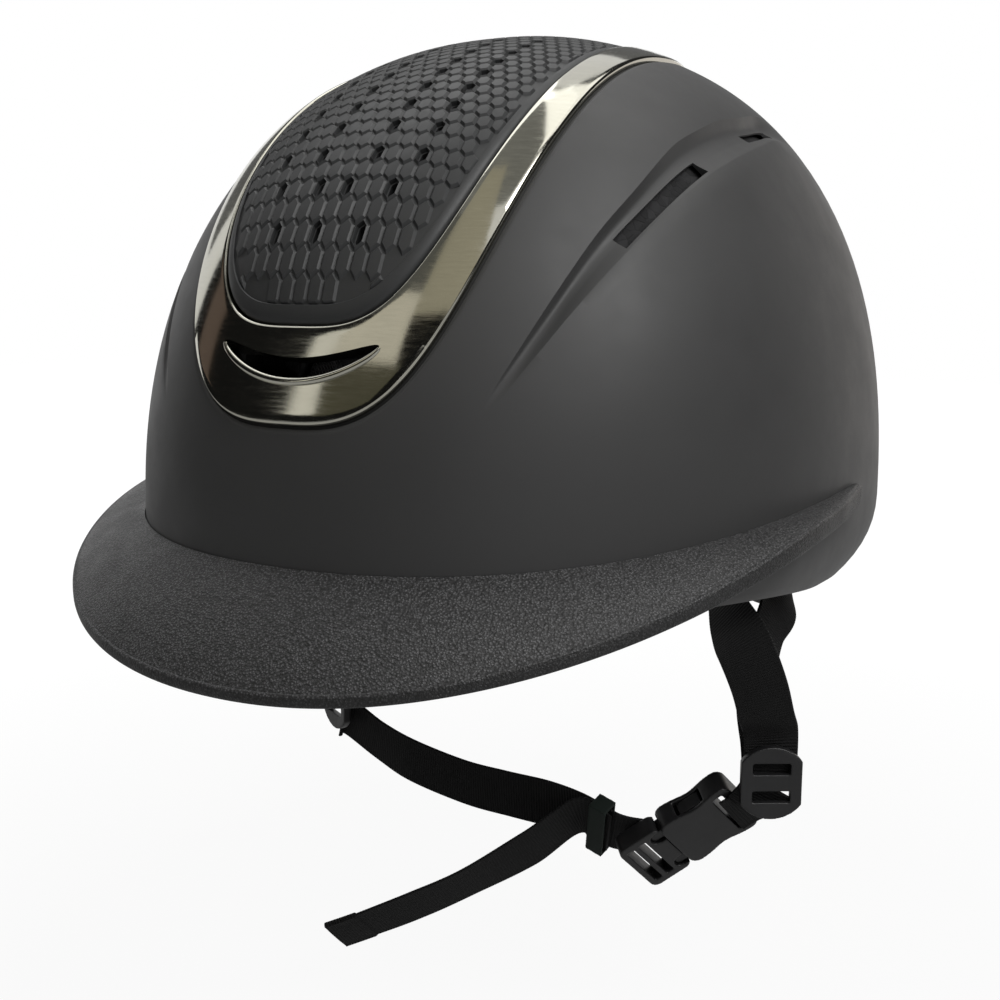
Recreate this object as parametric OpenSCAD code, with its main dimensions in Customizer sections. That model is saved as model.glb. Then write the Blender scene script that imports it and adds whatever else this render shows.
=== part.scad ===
// Riding helmet: a domed shell over a foam liner, a sloping brim, a vent panel
// in a bright frame, a fit dial cradle and a harness with a side release buckle.
// Millimetres. +Z up, -Y forward, +X to the wearer's left. The origin is the
// middle of the head opening, level with the widest ring of the shell.

/* [Shell] */
// Half width of the shell
half_w = 115; // [105:0.5:122]
// Reach of the shell forward of the origin
front_reach = 152; // [142:0.5:160]
// Reach of the shell behind the origin
rear_reach = 138; // [130:0.5:148]
// Height of the crown above the origin
crown_h = 155; // [145:0.5:165]
// Depth over which the shell would close below its widest ring
tuck_depth = 52; // [46:0.5:70]
// Wall of the shell
shell_wall = 3; // [2:0.1:3.2]
// How far the rim lies below the origin at the brow
rim_front = 14; // [11:0.5:16]
// How far the rim lies below the origin at the nape
rim_rear = 28; // [22:0.5:32]
// Depth of the side channels
channel_depth = 2.2; // [1:0.1:2.6]
// Radius of the cutter that forms the side channels
channel_r = 13; // [10:0.5:18]
// Radius of the side slots, half their height
slot_r = 2.2; // [1.5:0.1:3]

/* [Liner] */
// Thickness of the foam liner
foam = 24; // [20:0.5:27]
// Height of the front air duct through the foam
duct_h = 8; // [6:0.5:10]
// Width of the front air duct
duct_w = 40; // [30:1:46]
// Radius of the crown vents through the foam
crown_vent_r = 7; // [4:0.5:9]

/* [Brim] */
// Reach of the brim beyond the shell at the front
brim_reach = 27; // [15:0.5:32]
// Reach of the brim beyond the shell at its ends
brim_end = 2.6; // [2:0.1:4]
// How far the front edge lies below the origin
brim_drop = 29; // [20:0.5:34]
// Thickness of the front edge
brim_edge = 3.5; // [2.5:0.1:5]
// Angle from the front to each end of the brim
brim_turn = 89; // [80:0.5:92]

/* [Vent frame and panel] */
// Half width of the bright frame
frame_half = 57; // [52:0.5:60]
// Half width of the vent panel
panel_half = 45; // [40:0.5:47]
// How proud of the shell the frame stands
frame_rise = 1.2; // [0.6:0.1:2]
// How proud of the shell the middle of the panel stands
panel_rise = 2.6; // [1.5:0.1:4]
// Size across the flats of a vent hole
vent_hole = 4.2; // [3:0.1:5]
// Half width of the intake slot in the frame
intake_half = 25; // [18:0.5:27]

/* [Comfort liner] */
// Thickness of the sewn pads
pad_t = 7; // [4:0.5:9]

/* [Harness] */
// Width of the webbing
web_w = 19; // [16:0.5:20]
// Thickness of the webbing
web_t = 1.4; // [1:0.1:1.6]
// Length of the buckle socket
socket_l = 29; // [27:0.5:32]
// Width of the buckle
buckle_w = 26; // [24.5:0.5:29]
// Thickness of the buckle
buckle_t = 9; // [8.5:0.5:11]

/* [Fit system] */
// Room between the liner's wall and the cradle at the temples
temple_room = 5.65; // [4.65:0.1:7.65]
// Room between the liner's wall and the cradle at the nape
nape_room = 13.65; // [11.65:0.1:16.65]
// Thickness of the cradle band
band_t = 1.8; // [1.4:0.1:2]
// Height of the cradle band
band_h = 18; // [12:0.5:20]
// Height of the dial's axis
dial_z = -46; // [-50:0.5:-44]
// Radius of the dial
dial_r = 13; // [10:0.5:14]
// Teeth on the drive pinion
pinion_teeth = 10; // [8:1:12]
// Module of the rack teeth
tooth_mod = 0.8; // [0.7:0.05:0.9]
// Running clearance between moving pieces
run_gap = 0.3; // [0.2:0.05:0.4]
// Clearance between a pin and its bore
pin_gap = 0.08; // [0.05:0.01:0.1]
// Radius of the temple pins
pin_r = 3; // [2.5:0.1:3.5]

/* [Hidden] */

// Powers of the rounded box that the shell follows: in plan, then front and rear
plan_pow = 2.33;
front_pow = 2.17;
rear_pow = 2.4;
// Gap that keeps a solid just clear of its neighbour
seat_gap = 0.35;
cavity_g = -(shell_wall + seat_gap + foam);
foam_g = -(shell_wall + seat_gap);
cradle_half = half_w + cavity_g - temple_room;
cradle_rear = rear_reach + cavity_g - nape_room;
around = 72;

// Small helpers
function lerp(a, b, t) = a + (b - a) * t;
function smooth(t) = let (c = min(1, max(0, t))) c * c * (3 - 2 * c);
function unit(v) = v / norm(v);
function mirror_x(v) = [-v.x, v.y, v.z];

// The dome: how far it reaches along direction d, grown by g
function plan_mix(d) = let (c = -d.y / max(norm([d.x, d.y]), 0.000001))
    (front_pow + rear_pow) / 2 + (front_pow - rear_pow) / 2 * c;
function reach(d, g = 0, low = tuck_depth) =
    let (b = (d.y < 0 ? front_reach : rear_reach) + g, h = (d.z > 0 ? crown_h : low) + g,
        q = plan_mix(d),
        plan = pow(pow(abs(d.x) / (half_w + g), plan_pow) + pow(abs(d.y) / b, plan_pow), 1 / plan_pow))
    pow(pow(plan, q) + pow(abs(d.z) / h, q), -1 / q);
function dir(az, el) = [sin(az) * cos(el), -cos(az) * cos(el), sin(el)];
function dome(az, el, g = 0) = dir(az, el) * reach(dir(az, el), g);
// Plan radius of the dome at bearing az and height z
function plan_r(az, z, g = 0, low = tuck_depth) =
    let (d = dir(az, 0), q = plan_mix(d), h = (z > 0 ? crown_h : low) + g,
        b = (d.y < 0 ? front_reach : rear_reach) + g,
        k = pow(1 - pow(abs(z) / h, q), 1 / q))
    k / pow(pow(abs(d.x) / (half_w + g), plan_pow) + pow(abs(d.y) / b, plan_pow), 1 / plan_pow);
function side(az, z, g = 0, low = tuck_depth, out = 0) =
    let (r = plan_r(az, z, g, low) + out) [r * sin(az), -r * cos(az), z];
// Height of the shell's rim at bearing az
function rim_z(az) = let (a = abs(az > 180 ? az - 360 : az))
    lerp(-rim_front, -rim_rear, smooth((a - 40) / 70));
// The head cavity's wall stays upright below the origin
cavity_low = 400;
function skin(az, t, g, z0, low) =
    let (p = side(az, z0, g, low), e0 = atan2(p.z, norm([p.x, p.y])), e = lerp(e0, 90, t), d = dir(az, e))
    d * reach(d, g, low);

// Closed solids from rows of points
function quad_faces(m, n, first, wrap) = [for (i = [0 : m - 2], j = [0 : n - (wrap ? 1 : 2)])
    let (a = first + i * n + j, b = first + i * n + (j + 1) % n, c = b + n, d = a + n)
    each [[a, b, c], [a, c, d]]];
// Rows run from a top point, down the outside and up the inside to a bottom point
module pole_loft(rows, top, bottom) {
    m = len(rows);
    n = len(rows[0]);
    polyhedron(points = concat([top], [for (r = rows) each r], [bottom]),
        faces = concat([for (j = [0 : n - 1]) [0, 1 + (j + 1) % n, 1 + j]],
            quad_faces(m, n, 1, true),
            [for (j = [0 : n - 1]) [1 + m * n, 1 + (m - 1) * n + j, 1 + (m - 1) * n + (j + 1) % n]]));
}
// A bar along its rows, closed by flat ends
module bar_loft(rows) {
    m = len(rows);
    n = len(rows[0]);
    polyhedron(points = [for (r = rows) each r],
        faces = concat([[for (j = [0 : n - 1]) n - 1 - j]], quad_faces(m, n, 0, true),
            [[for (j = [0 : n - 1]) (m - 1) * n + j]]));
}
// A strip of four-cornered sections; both faces are split the same way, so a twist keeps its thickness
module strip_loft(rows) {
    m = len(rows);
    polyhedron(points = [for (r = rows) each r],
        faces = concat([[3, 2, 1, 0]],
            [for (i = [0 : m - 2], j = [0 : 3])
                let (a = i * 4 + j, b = i * 4 + (j + 1) % 4, c = b + 4, d = a + 4)
                each (j == 1 ? [[a, b, d], [b, c, d]] : [[a, b, c], [a, c, d]])],
            [[for (j = [0 : 3]) (m - 1) * 4 + j]]));
}
// A ring of rows that meets itself
module ring_loft(rows) {
    m = len(rows);
    n = len(rows[0]);
    polyhedron(points = [for (r = rows) each r],
        faces = [for (i = [0 : m - 1], j = [0 : n - 1])
            let (a = i * n + j, b = i * n + (j + 1) % n, c = ((i + 1) % m) * n + (j + 1) % n,
                d = ((i + 1) % m) * n + j)
            each [[a, b, c], [a, c, d]]]);
}

// A round peg that stands square to the dome along direction d
module peg(d, r, from, to, sides = 12) {
    az = atan2(d.x, -d.y);
    el = asin(d.z);
    rotate([90 - el, 0, az])
        translate([0, 0, reach(d) + from])
            cylinder(r = r, h = to - from, $fn = sides);
}
module ball(d, r, up) {
    translate(d * (reach(d) + up))
        sphere(r = r, $fn = 16);
}

// Shell
// Side channel: it climbs from a point beside the brow and runs back over the ear
channel_from = 22;
channel_to = 112;
channel_steps = 11;
function channel_el(az) = 58 - 41 * pow(max(0, (105 - az) / 84), 2.9);
function channel_sink(t) = channel_depth * smooth(t * 4) * smooth((1 - t) * 4);
module side_channel() {
    for (i = [0 : channel_steps - 1]) {
        t0 = i / channel_steps;
        t1 = (i + 1) / channel_steps;
        a0 = lerp(channel_from, channel_to, t0);
        a1 = lerp(channel_from, channel_to, t1);
        hull() {
            ball(dir(a0, channel_el(a0)), channel_r, channel_r - channel_sink(t0));
            ball(dir(a1, channel_el(a1)), channel_r, channel_r - channel_sink(t1));
        }
    }
}
// A slot is a row of pegs from one bearing to another
module side_slot(az0, el0, az1, el1, r, from) {
    n = 3;
    for (i = [0 : n - 1])
        hull()
            for (k = [i, i + 1])
                peg(dir(lerp(az0, az1, k / n), lerp(el0, el1, k / n)), r, from, 8);
}
// The two exhaust slots lie in each side channel
slots = [[37.5, 35.2, 54, 47.4], [79.5, 55.8, 97, 57]];
module side_slots(r, from) {
    for (s = slots)
        side_slot(s[0], s[1], s[2], s[3], r, from);
}

// Frame and panel outlines: plane angle th from the front over the crown, offset w from the middle
frame_mid = 57;
frame_front = 43.2;
frame_back = 75;
panel_mid = 60;
panel_front = 36;
panel_back = 64;
function crown_dir(th, w) = let (r = reach([0, -cos(th), sin(th)]))
    unit([w, -r * cos(th), r * sin(th)]);
function powered(v, k) = v < 0 ? -pow(-v, k) : pow(v, k);
function outline(s, mid, front, back, half, f_pow, inset) =
    let (c = cos(s), turn = inset / 2.65)
    [mid - (c > 0 ? front - turn : back - turn) * c,
        (half - inset) * powered(sin(s), c > 0 ? 2 / f_pow : 1.25)];
function frame_edge(s, inset = 0) = outline(s, frame_mid, frame_front, frame_back, frame_half, 3, inset);
function panel_edge(s, inset = 0) = outline(s, panel_mid, panel_front, panel_back, panel_half, 3.4, inset);
function on_crown(tw, g) = let (d = crown_dir(tw[0], tw[1])) d * (reach(d) + g);

// The cutter for the opening under the frame: its caps follow the dome
module crown_opening() {
    function ring(k, g) = [for (i = [0 : around - 1]) let (e = frame_edge((i + 0.5) * 360 / around))
        on_crown([lerp(frame_mid, e[0], k), e[1] * k], g)];
    pole_loft([ring(0.35, 12), ring(0.7, 12), ring(1, 12), ring(1, -14), ring(0.7, -14), ring(0.35, -14)],
        on_crown([frame_mid, 0], 12), on_crown([frame_mid, 0], -14));
}

shell_rows = 18;
module outer_shell() {
    color([0.16, 0.16, 0.165])
    difference() {
        pole_loft(concat(
            [for (k = [1 : shell_rows]) [for (i = [0 : around - 1]) let (az = i * 360 / around)
                skin(az, 1 - k / shell_rows, 0, rim_z(az), tuck_depth)]],
            [for (k = [0 : 11]) [for (i = [0 : around - 1]) let (az = i * 360 / around)
                skin(az, k / 12, -shell_wall, rim_z(az), tuck_depth)]]),
            [0, 0, crown_h], [0, 0, crown_h - shell_wall]);
        crown_opening();
        side_channel();
        mirror([1, 0, 0]) side_channel();
        side_slots(slot_r, -8);
        mirror([1, 0, 0]) side_slots(slot_r, -8);
    }
}

// Foam liner
liner_up = 2;
module eps_liner() {
    color([0.09, 0.09, 0.09])
    difference() {
        pole_loft(concat(
            [for (k = [1 : 12]) [for (i = [0 : around / 2 - 1]) let (az = i * 720 / around)
                skin(az, 1 - k / 12, foam_g - 0.5, rim_z(az) + liner_up, tuck_depth)]],
            [for (k = [0 : 11]) [for (i = [0 : around / 2 - 1]) let (az = i * 720 / around)
                skin(az, k / 12, cavity_g, rim_z(az) + liner_up, cavity_low)]]),
            [0, 0, crown_h + foam_g - 0.5], [0, 0, crown_h + cavity_g]);
        translate([-duct_w / 2, -front_reach, intake_z - duct_h / 2])
            cube([duct_w, foam * 2.2, duct_h]);
        for (th = [48, 66, 84], w = [-17, 17])
            peg(crown_dir(th, w), crown_vent_r, cavity_g - 8, 4, 16);
        side_slots(slot_r + 1, cavity_g - 8);
        mirror([1, 0, 0]) side_slots(slot_r + 1, cavity_g - 8);
    }
}

// Soft binding that closes the gap under the foam, just inside the shell's rim
trim_t = 1.6;
module liner_edge_trim() {
    color([0.05, 0.05, 0.05])
    ring_loft([for (i = [0 : around / 2 - 1]) let (az = i * 720 / around, z = rim_z(az) + liner_up - 0.3)
        [side(az, z, cavity_g, cavity_low, 0.3), side(az, z - trim_t, cavity_g, cavity_low, 0.3),
            side(az, z - trim_t, foam_g - 0.5), side(az, z, foam_g - 0.5)]]);
}

// Brim
function join_z(u) = 0.3 + 10.7 * (1 - cos(180 * u)) / 2;
function brim_out(u) = brim_end + (brim_reach - brim_end) * pow(1 - u * u, 1.4);
function brim_low(u) = -brim_drop + (brim_drop + 99.3) * u * u - 170 * pow(u, 4) + 75.5 * pow(u, 6);
function brim_high(u) = min(brim_low(u) + brim_edge + 5 * u * u, join_z(u) - 0.8);
function brim_root(u) = -10 + 13.5 * pow(u, 1.5);
module visor_brim() {
    n = 60;
    color([0.13, 0.13, 0.13])
    bar_loft([for (i = [0 : n]) let (u = abs(2 * i / n - 1), az = brim_turn * (2 * i / n - 1),
        zj = join_z(u), zh = brim_high(u), zl = brim_low(u), zr = min(brim_root(u), zj - 4),
        e = brim_out(u), g = seat_gap, rj = plan_r(az, zj), rr = plan_r(az, zr), top = rj + e,
        at = [for (p = [[rj + g, zj], [plan_r(az, (zj + zr) / 2) + g, (zj + zr) / 2], [rr + g, zr],
            [lerp(rr, top, 0.5), lerp(zr, zl, 0.42)], [top - 1.2, zl], [top, zl + 0.8], [top, zh - 0.6],
            [top - 0.8, zh], [lerp(rj, top, 0.55), lerp(zj, zh, 0.46)]]) p])
        [for (p = at) [p[0] * sin(az), -p[0] * cos(az), p[1]]]]);
}

// Bright frame round the panel, with the intake slot in its front
intake_th = 20.2;
intake_z = 51;
function intake_at(c) = [intake_th + 2.4 * c * c, intake_half * c];
module vent_trim() {
    n = 64;
    under = -shell_wall - 0.1;
    color([0.72, 0.70, 0.63])
    difference() {
        ring_loft([for (i = [0 : n - 1]) let (s = i * 360 / n, a = panel_edge(s), b = frame_edge(s, 0.8))
            [for (k = [[0, under], [0.5, under], [1, under], [1, 0.4], [0.94, frame_rise - 0.2],
                [0.72, frame_rise], [0.48, frame_rise], [0.24, frame_rise], [0.04, frame_rise - 0.2], [0, 0.5]])
                on_crown(lerp(a, b, k[0]), k[1])]]);
        for (i = [0 : 7])
            hull()
                for (k = [i, i + 1])
                    let (c = k / 4 - 1)
                        peg(crown_dir(intake_at(c)[0], intake_at(c)[1]), 2.7 - 2 * c * c, -6, 4, 10);
    }
}

// Vent panel with its hexagonal holes
hole_rows = [33.5, 39, 43.3, 47.5, 51.3, 55, 58.6, 62, 65.3, 68.6, 71.8];
function hole_offsets(i) = i == 0 ? [-13.8, 0, 13.8]
    : i == 1 ? [-18.6, -4.6, 4.6, 18.6] : [-23, -9.2, 9.2, 23];
module hex_vent_panel() {
    n = 26;
    under = -shell_wall - 0.1;
    color([0.15, 0.15, 0.15])
    difference() {
        bar_loft([for (i = [0 : n]) let (s = 5 + 170 * i / n, e = panel_edge(s, 0.4),
            end = 0.2 + 0.8 * smooth(sin(s) * 1.6))
            [for (k = [[-1, under], [-0.5, under], [0, under], [0.5, under], [1, under], [1, 0.6], [0.93, 1.7],
                [0.72, 2.3], [0.4, 2.6], [0, 2.7], [-0.4, 2.6], [-0.72, 2.3], [-0.93, 1.7], [-1, 0.6]])
                on_crown([e[0], e[1] * k[0]], k[1] < 0 ? under : k[1] / 2.7 * panel_rise * end)]]);
        for (i = [0 : len(hole_rows) - 1], w = hole_offsets(i))
            peg(crown_dir(hole_rows[i], w), vent_hole / 2 / cos(30), -8, 8, 6);
    }
}

// Sewn pads: a crowned strip on the cavity's wall
module wall_pad(az0, az1, el0, el1, t) {
    n = 20;
    gap = seat_gap + 0.6;
    bar_loft([for (i = [0 : n]) let (s = 2 * i / n - 1, az = lerp(az0, az1, i / n),
        size = max(0.2, pow(1 - pow(abs(s), 4), 0.5)), mid = (el0 + el1) / 2, half = (el1 - el0) / 2 * size)
        [for (k = [0 : 11]) let (a = k * 30 + 15, up = powered(cos(a), 0.6), in = powered(sin(a), 0.6),
            e = mid + half * up, g = cavity_g - gap - (in > 0 ? t * in * (0.3 + 0.7 * size) : 0.4 * -in),
            d = dir(az, e))
            d * reach(d, g, cavity_low)]]);
}
module brow_pad() {
    color([0.1, 0.1, 0.1]) wall_pad(-48, 48, -3, 12, pad_t);
}
module left_side_pad() {
    color([0.1, 0.1, 0.1]) wall_pad(62, 112, 2, 30, pad_t);
}
module right_side_pad() {
    color([0.1, 0.1, 0.1]) mirror([1, 0, 0]) wall_pad(62, 112, 2, 30, pad_t);
}
// Crown pad: a dished oval under the top of the cavity
crown_pad_l = 54;
crown_pad_w = 38;
module crown_pad() {
    n = 36;
    gap = seat_gap + 0.9;
    rise = [[0.4, 0], [0.8, 0], [0.97, 0.2], [1, 0.5], [0.95, 0.8], [0.7, 1], [0.35, 1]];
    top = crown_h + cavity_g;
    function cap(a, k, g) = let (v = unit([crown_pad_w * k * sin(a), -crown_pad_l * k * cos(a), top]))
        v * reach(v, cavity_g - g, cavity_low);
    color([0.1, 0.1, 0.1])
    pole_loft([for (r = rise) [for (i = [0 : n - 1]) cap(i * 360 / n, r[0], gap + r[1] * pad_t)]],
        [0, 0, crown_h + cavity_g - gap], [0, 0, crown_h + cavity_g - gap - pad_t]);
}

// Harness
// Each strap is a list of stations: a point and the direction across its width
sub = 4;
function spline(a, b, c, d, t) = 0.5 * (2 * b + (c - a) * t + (2 * a - 5 * b + 4 * c - d) * t * t
    + (3 * b - 3 * c + d - a) * t * t * t);
function station(s, i) = s[min(len(s) - 1, max(0, i))];
function route(s, k) = [for (i = [0 : len(s) - 2], j = [0 : sub - 1]) let (t = j / sub)
    spline(station(s, i - 1)[k], s[i][k], s[i + 1][k], station(s, i + 2)[k], t)];
function full_route(s, k) = concat(route(s, k), [s[len(s) - 1][k]]);
module webbing(s, w = web_w, t = web_t) {
    p = full_route(s, 0);
    x = full_route(s, 1);
    m = len(p);
    strip_loft([for (i = [0 : m - 1])
        let (tan = unit(p[min(m - 1, i + 1)] - p[max(0, i - 1)]), n = unit(cross(tan, x[i])),
            a = unit(cross(n, tan)))
        [p[i] + a * w / 2 + n * t / 2, p[i] + a * w / 2 - n * t / 2,
            p[i] - a * w / 2 - n * t / 2, p[i] - a * w / 2 + n * t / 2]]);
}
function other_side(s) = [for (k = s) [mirror_x(k[0]), mirror_x(k[1])]];

// The liner's wall at y, and a place inside it that clears the wall's flat facets over a strap's width
function wall_x(y) = let (b = (y < 0 ? front_reach : rear_reach) + cavity_g)
    (half_w + cavity_g) * pow(1 - pow(abs(y) / b, plan_pow), 1 / plan_pow);
facet_sag = 0.5;
function in_wall(y, clear, half = web_w / 2) = (wall_x(y + half) + wall_x(y - half)) / 2 - facet_sag - clear;
function wall_lean(y) = (wall_x(y + web_w / 2) - wall_x(y - web_w / 2)) / web_w;
strap_clear = web_t / 2 + 0.35;
front_anchor = [-42, -7];
rear_anchor = [55, -18];
// The harness hangs from the front anchors: its places are drawn for a shell of the size in the photo
hang = in_wall(front_anchor[0], strap_clear);
drawn_hang = 82.77;
function out_by(x) = hang + x;
function spread(x) = x * hang / drawn_hang;

// The straps twist below the rim, so that their faces lie on the divider's, which looks forward
divider_at = [out_by(9.2), -6, -95];
divider_turn = 60;
divider_out = [cos(divider_turn), -sin(divider_turn), 0];
divider_side = [sin(divider_turn), cos(divider_turn), 0];
function at_divider(out, up) = divider_at + divider_out * out + [0, 0, up];
front_strap = [[[hang, front_anchor[0], -6], [wall_lean(front_anchor[0]), 1, 0.3]],
    [[in_wall(-37.5, strap_clear), -37.5, -20], [wall_lean(-37.5), 1, 0.35]],
    [[out_by(1.6), -32.5, -31], [0.36, 0.9, 0.22]], [[out_by(4.6), -24, -44], [0.8, 0.6, 0.08]],
    [[out_by(7.2), -16.5, -58], [0.88, 0.47, 0]], [[out_by(8.2), -10.5, -70], [0.87, 0.49, 0]],
    [at_divider(-2.2, 16), divider_side], [at_divider(-2.3, 3.5), divider_side]];
rear_strap = [[[in_wall(rear_anchor[0], strap_clear), rear_anchor[0], -17],
        [-0.9 * wall_lean(rear_anchor[0]), -0.9, 0.7]],
    [[in_wall(43, strap_clear), 43, -29], [-0.9 * wall_lean(43), -0.9, 0.7]],
    [[out_by(0.8), 31, -40], [0.1, -0.9, 0.7]], [[out_by(0.2), 14, -47], [0.05, -0.85, 0.6]],
    [[out_by(0.7), 2, -57], [-0.3, -0.85, 0.45]], [[out_by(2.7), 0.5, -70], [-0.7, -0.7, 0.2]],
    [[out_by(5.7), -1, -82], [-0.85, -0.52, 0.05]], [at_divider(-4.4, 4.5), -divider_side]];
module left_front_strap() {
    color([0.06, 0.06, 0.06]) webbing(front_strap);
}
module left_rear_strap() {
    color([0.06, 0.06, 0.06]) webbing(rear_strap);
}
module right_front_strap() {
    color([0.06, 0.06, 0.06]) webbing(other_side(front_strap));
}
module right_rear_strap() {
    color([0.06, 0.06, 0.06]) webbing(other_side(rear_strap));
}

// Anchors: a plate that traps each strap's end against the liner, held by a rivet
module anchor(at, turn) {
    translate(at)
        rotate([0, 0, turn])
            rotate([0, -90, 0]) {
                linear_extrude(2)
                    difference() {
                        square([14, web_w + 6], center = true);
                        for (s = [-1, 1])
                            translate([4.2, s * (web_w / 2 + 1.2)]) circle(r = 0.8, $fn = 16);
                    }
                translate([0, 0, 2])
                    cylinder(r1 = 4, r2 = 3, h = 1.2, $fn = 24);
            }
}
anchor_half = web_w / 2 + 3;
anchor_clear = strap_clear + web_t / 2 + 0.35;
module harness_anchors() {
    color([0.3, 0.3, 0.31])
        for (m = [0, 1])
            mirror([m, 0, 0]) {
                for (a = [front_anchor, rear_anchor])
                    anchor([in_wall(a[0], anchor_clear, anchor_half), a[0], a[1]],
                        -atan(wall_lean(a[0])));
            }
}

// Divider: an oval ring that gathers the front and rear straps
divider_l = 26;
divider_w = 21;
divider_t = 2.4;
module divider() {
    color([0.05, 0.05, 0.05])
    translate(divider_at)
        rotate([0, 90, -divider_turn])
            translate([0, 0, -divider_t / 2])
                linear_extrude(divider_t)
                    difference() {
                        intersection() {
                            circle(d = divider_l, $fn = 48);
                            square([divider_l, divider_w], center = true);
                        }
                        for (s = [-1, 1])
                            translate([s * 5, 0])
                                square([4, divider_w - 8], center = true);
                    }
}
module left_divider() {
    divider();
}
module right_divider() {
    mirror([1, 0, 0]) divider();
}

// Buckle frame: x along the plug's way out, y across, z out of its face
buckle_at = [spread(57.5), -8, -122.5];
buckle_x = unit([-0.73, -0.31, -0.60]);
buckle_z = unit(cross(buckle_x, [0.294, 0.654, -0.696]));
buckle_y = cross(buckle_z, buckle_x);
function from_buckle(p) = buckle_at + buckle_x * p.x + buckle_y * p.y + buckle_z * p.z;
module in_buckle() {
    multmatrix([[buckle_x.x, buckle_y.x, buckle_z.x, buckle_at.x],
        [buckle_x.y, buckle_y.y, buckle_z.y, buckle_at.y],
        [buckle_x.z, buckle_y.z, buckle_z.z, buckle_at.z]]) children();
}
wall = 1.5;
prong_w = 4;
pad_out = 3;
prong_y = buckle_w / 2 - wall - prong_w / 2 - 1.2;
prong_t = buckle_t - 2 * wall - 2 * run_gap;
plug_depth = 20;
window_l = 11;
bar_r = 1.6;
plug_l = 17;
module rounded_plate(l, w, t, r) {
    translate([0, 0, -t / 2])
        linear_extrude(t)
            union() {
                square([l - 2 * r, w], center = true);
                square([l, w - 2 * r], center = true);
                for (x = [-1, 1], y = [-1, 1])
                    translate([x * (l / 2 - r), y * (w / 2 - r)]) circle(r = r, $fn = 32);
            }
}
module buckle_socket() {
    color([0.05, 0.05, 0.05])
    in_buckle()
        difference() {
            translate([-socket_l / 2, 0, 0]) rounded_plate(socket_l, buckle_w, buckle_t, 4);
            translate([-plug_depth - 1, -buckle_w / 2 + wall, -buckle_t / 2 + wall])
                cube([plug_depth + 2, buckle_w - 2 * wall, buckle_t - 2 * wall]);
            for (s = [-1, 1])
                translate([-plug_depth + 1, s * buckle_w / 2 - wall * 1.5, -buckle_t / 2 + wall])
                    cube([window_l, wall * 3, buckle_t - 2 * wall]);
            translate([-socket_l + 3.6, -web_w / 2 - 0.6, -buckle_t])
                cube([4, web_w + 1.2, buckle_t * 2]);
        }
}
prong_root = 3;
module buckle_plug() {
    color([0.05, 0.05, 0.05])
    in_buckle()
        difference() {
            union() {
                translate([plug_l / 2 + run_gap, 0, 0]) rounded_plate(plug_l, buckle_w, buckle_t - 1.4, 3);
                translate([-plug_depth + 3, -1.6, -prong_t / 2]) cube([plug_depth, 3.2, prong_t]);
            }
            for (x = [prong_root + 4, prong_root + 9])
                translate([x, -web_w / 2 - 0.6, -buckle_t]) cube([3, web_w + 1.2, buckle_t * 2]);
            for (s = [-1, 1])
                translate([prong_root, s * prong_y, -buckle_t])
                    cylinder(r = prong_w / 2 + run_gap, h = buckle_t * 2, $fn = 32);
            for (s = [-1, 1])
                translate([-1, s * prong_y - prong_w / 2 - 2 * run_gap, -buckle_t])
                    cube([prong_root + 1, prong_w + 4 * run_gap, buckle_t * 2]);
        }
}
// A prong bends at its root, modelled as a round seat in the plug
module prong(s) {
    y = s * prong_y;
    color([0.05, 0.05, 0.05])
    in_buckle()
        union() {
            translate([prong_root, y, -prong_t / 2]) cylinder(r = prong_w / 2, h = prong_t, $fn = 32);
            translate([-plug_depth + 3.5, y - prong_w / 2, -prong_t / 2])
                cube([plug_depth - 3.5 + prong_root, prong_w, prong_t]);
            translate([-plug_depth + 2, s > 0 ? y : y - pad_out, -prong_t / 2 + 0.2])
                cube([window_l - 2, pad_out, prong_t - 0.4]);
        }
}
module upper_prong() {
    prong(-1);
}
module lower_prong() {
    prong(1);
}

// Chin webbing: the short left piece, the long right piece and the free tail
left_chin = [[at_divider(-2.2, -4), divider_side * 0.76 + [0, 0, -0.65]],
    [[out_by(3.8), -3.5, -103.5], [0.47, 0.53, -0.69]],
    [from_buckle([-socket_l + 0.5, 0, buckle_t / 2 + 1.4]), buckle_y],
    [from_buckle([-socket_l + 6, 0, buckle_t / 2 + 1.3]), buckle_y]];
module left_chin_strap() {
    color([0.06, 0.06, 0.06]) webbing(left_chin);
}
// The keeper's place and directions: along the strap, across it, and away from the face
keeper_at = [buckle_at.x - 25.5, -14.6, -120.6];
keeper_t = unit([0.96, -0.1, -0.27]);
keeper_n = unit(cross(keeper_t, [0.1, 0.3, -0.95]));
keeper_u = cross(keeper_n, keeper_t);
keeper_l = 7;
layer = 1.3;
function in_keeper(along, out) = keeper_at + keeper_t * along + keeper_n * out;
across = [-0.17, 0.08, -0.98];
chin_end = mirror_x([0, 0, -0.95] + divider_side * 0.3);
right_chin = [[from_buckle([plug_l - 8.2, -3, -5.4]), buckle_y],
    [in_keeper(5.5, layer), keeper_u], [in_keeper(-5.5, layer), keeper_u],
    [[keeper_at.x - 22, -12.9, -117.4], across], [[spread(-8), -12.2, -117.5], across],
    [[spread(-28), -10.5, -117.5], across], [[spread(-54), -8, -114.5], across],
    [[-out_by(-10), -3.2, -111.2], [-0.2, 0.15, -0.95]],
    [mirror_x(at_divider(-5.6, -9.6)), chin_end], [mirror_x(at_divider(-2.8, -9)), chin_end]];
module right_chin_strap() {
    color([0.06, 0.06, 0.06]) webbing(right_chin);
}
tail_run = [[in_keeper(4.6, -layer), keeper_u], [in_keeper(-5.5, -layer), keeper_u],
    [[keeper_at.x - 23, -27, -130], [0, 0.5, -0.86]], [[keeper_at.x - 41, -41, -141.5], [-0.15, 0.55, -0.8]],
    [[keeper_at.x - 58, -50, -150.8], [-0.2, 0.5, -0.8]], [[keeper_at.x - 74, -57, -158.8], [-0.25, 0.5, -0.8]],
    [[keeper_at.x - 85, -62, -163.8], [-0.25, 0.5, -0.8]]];
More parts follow.
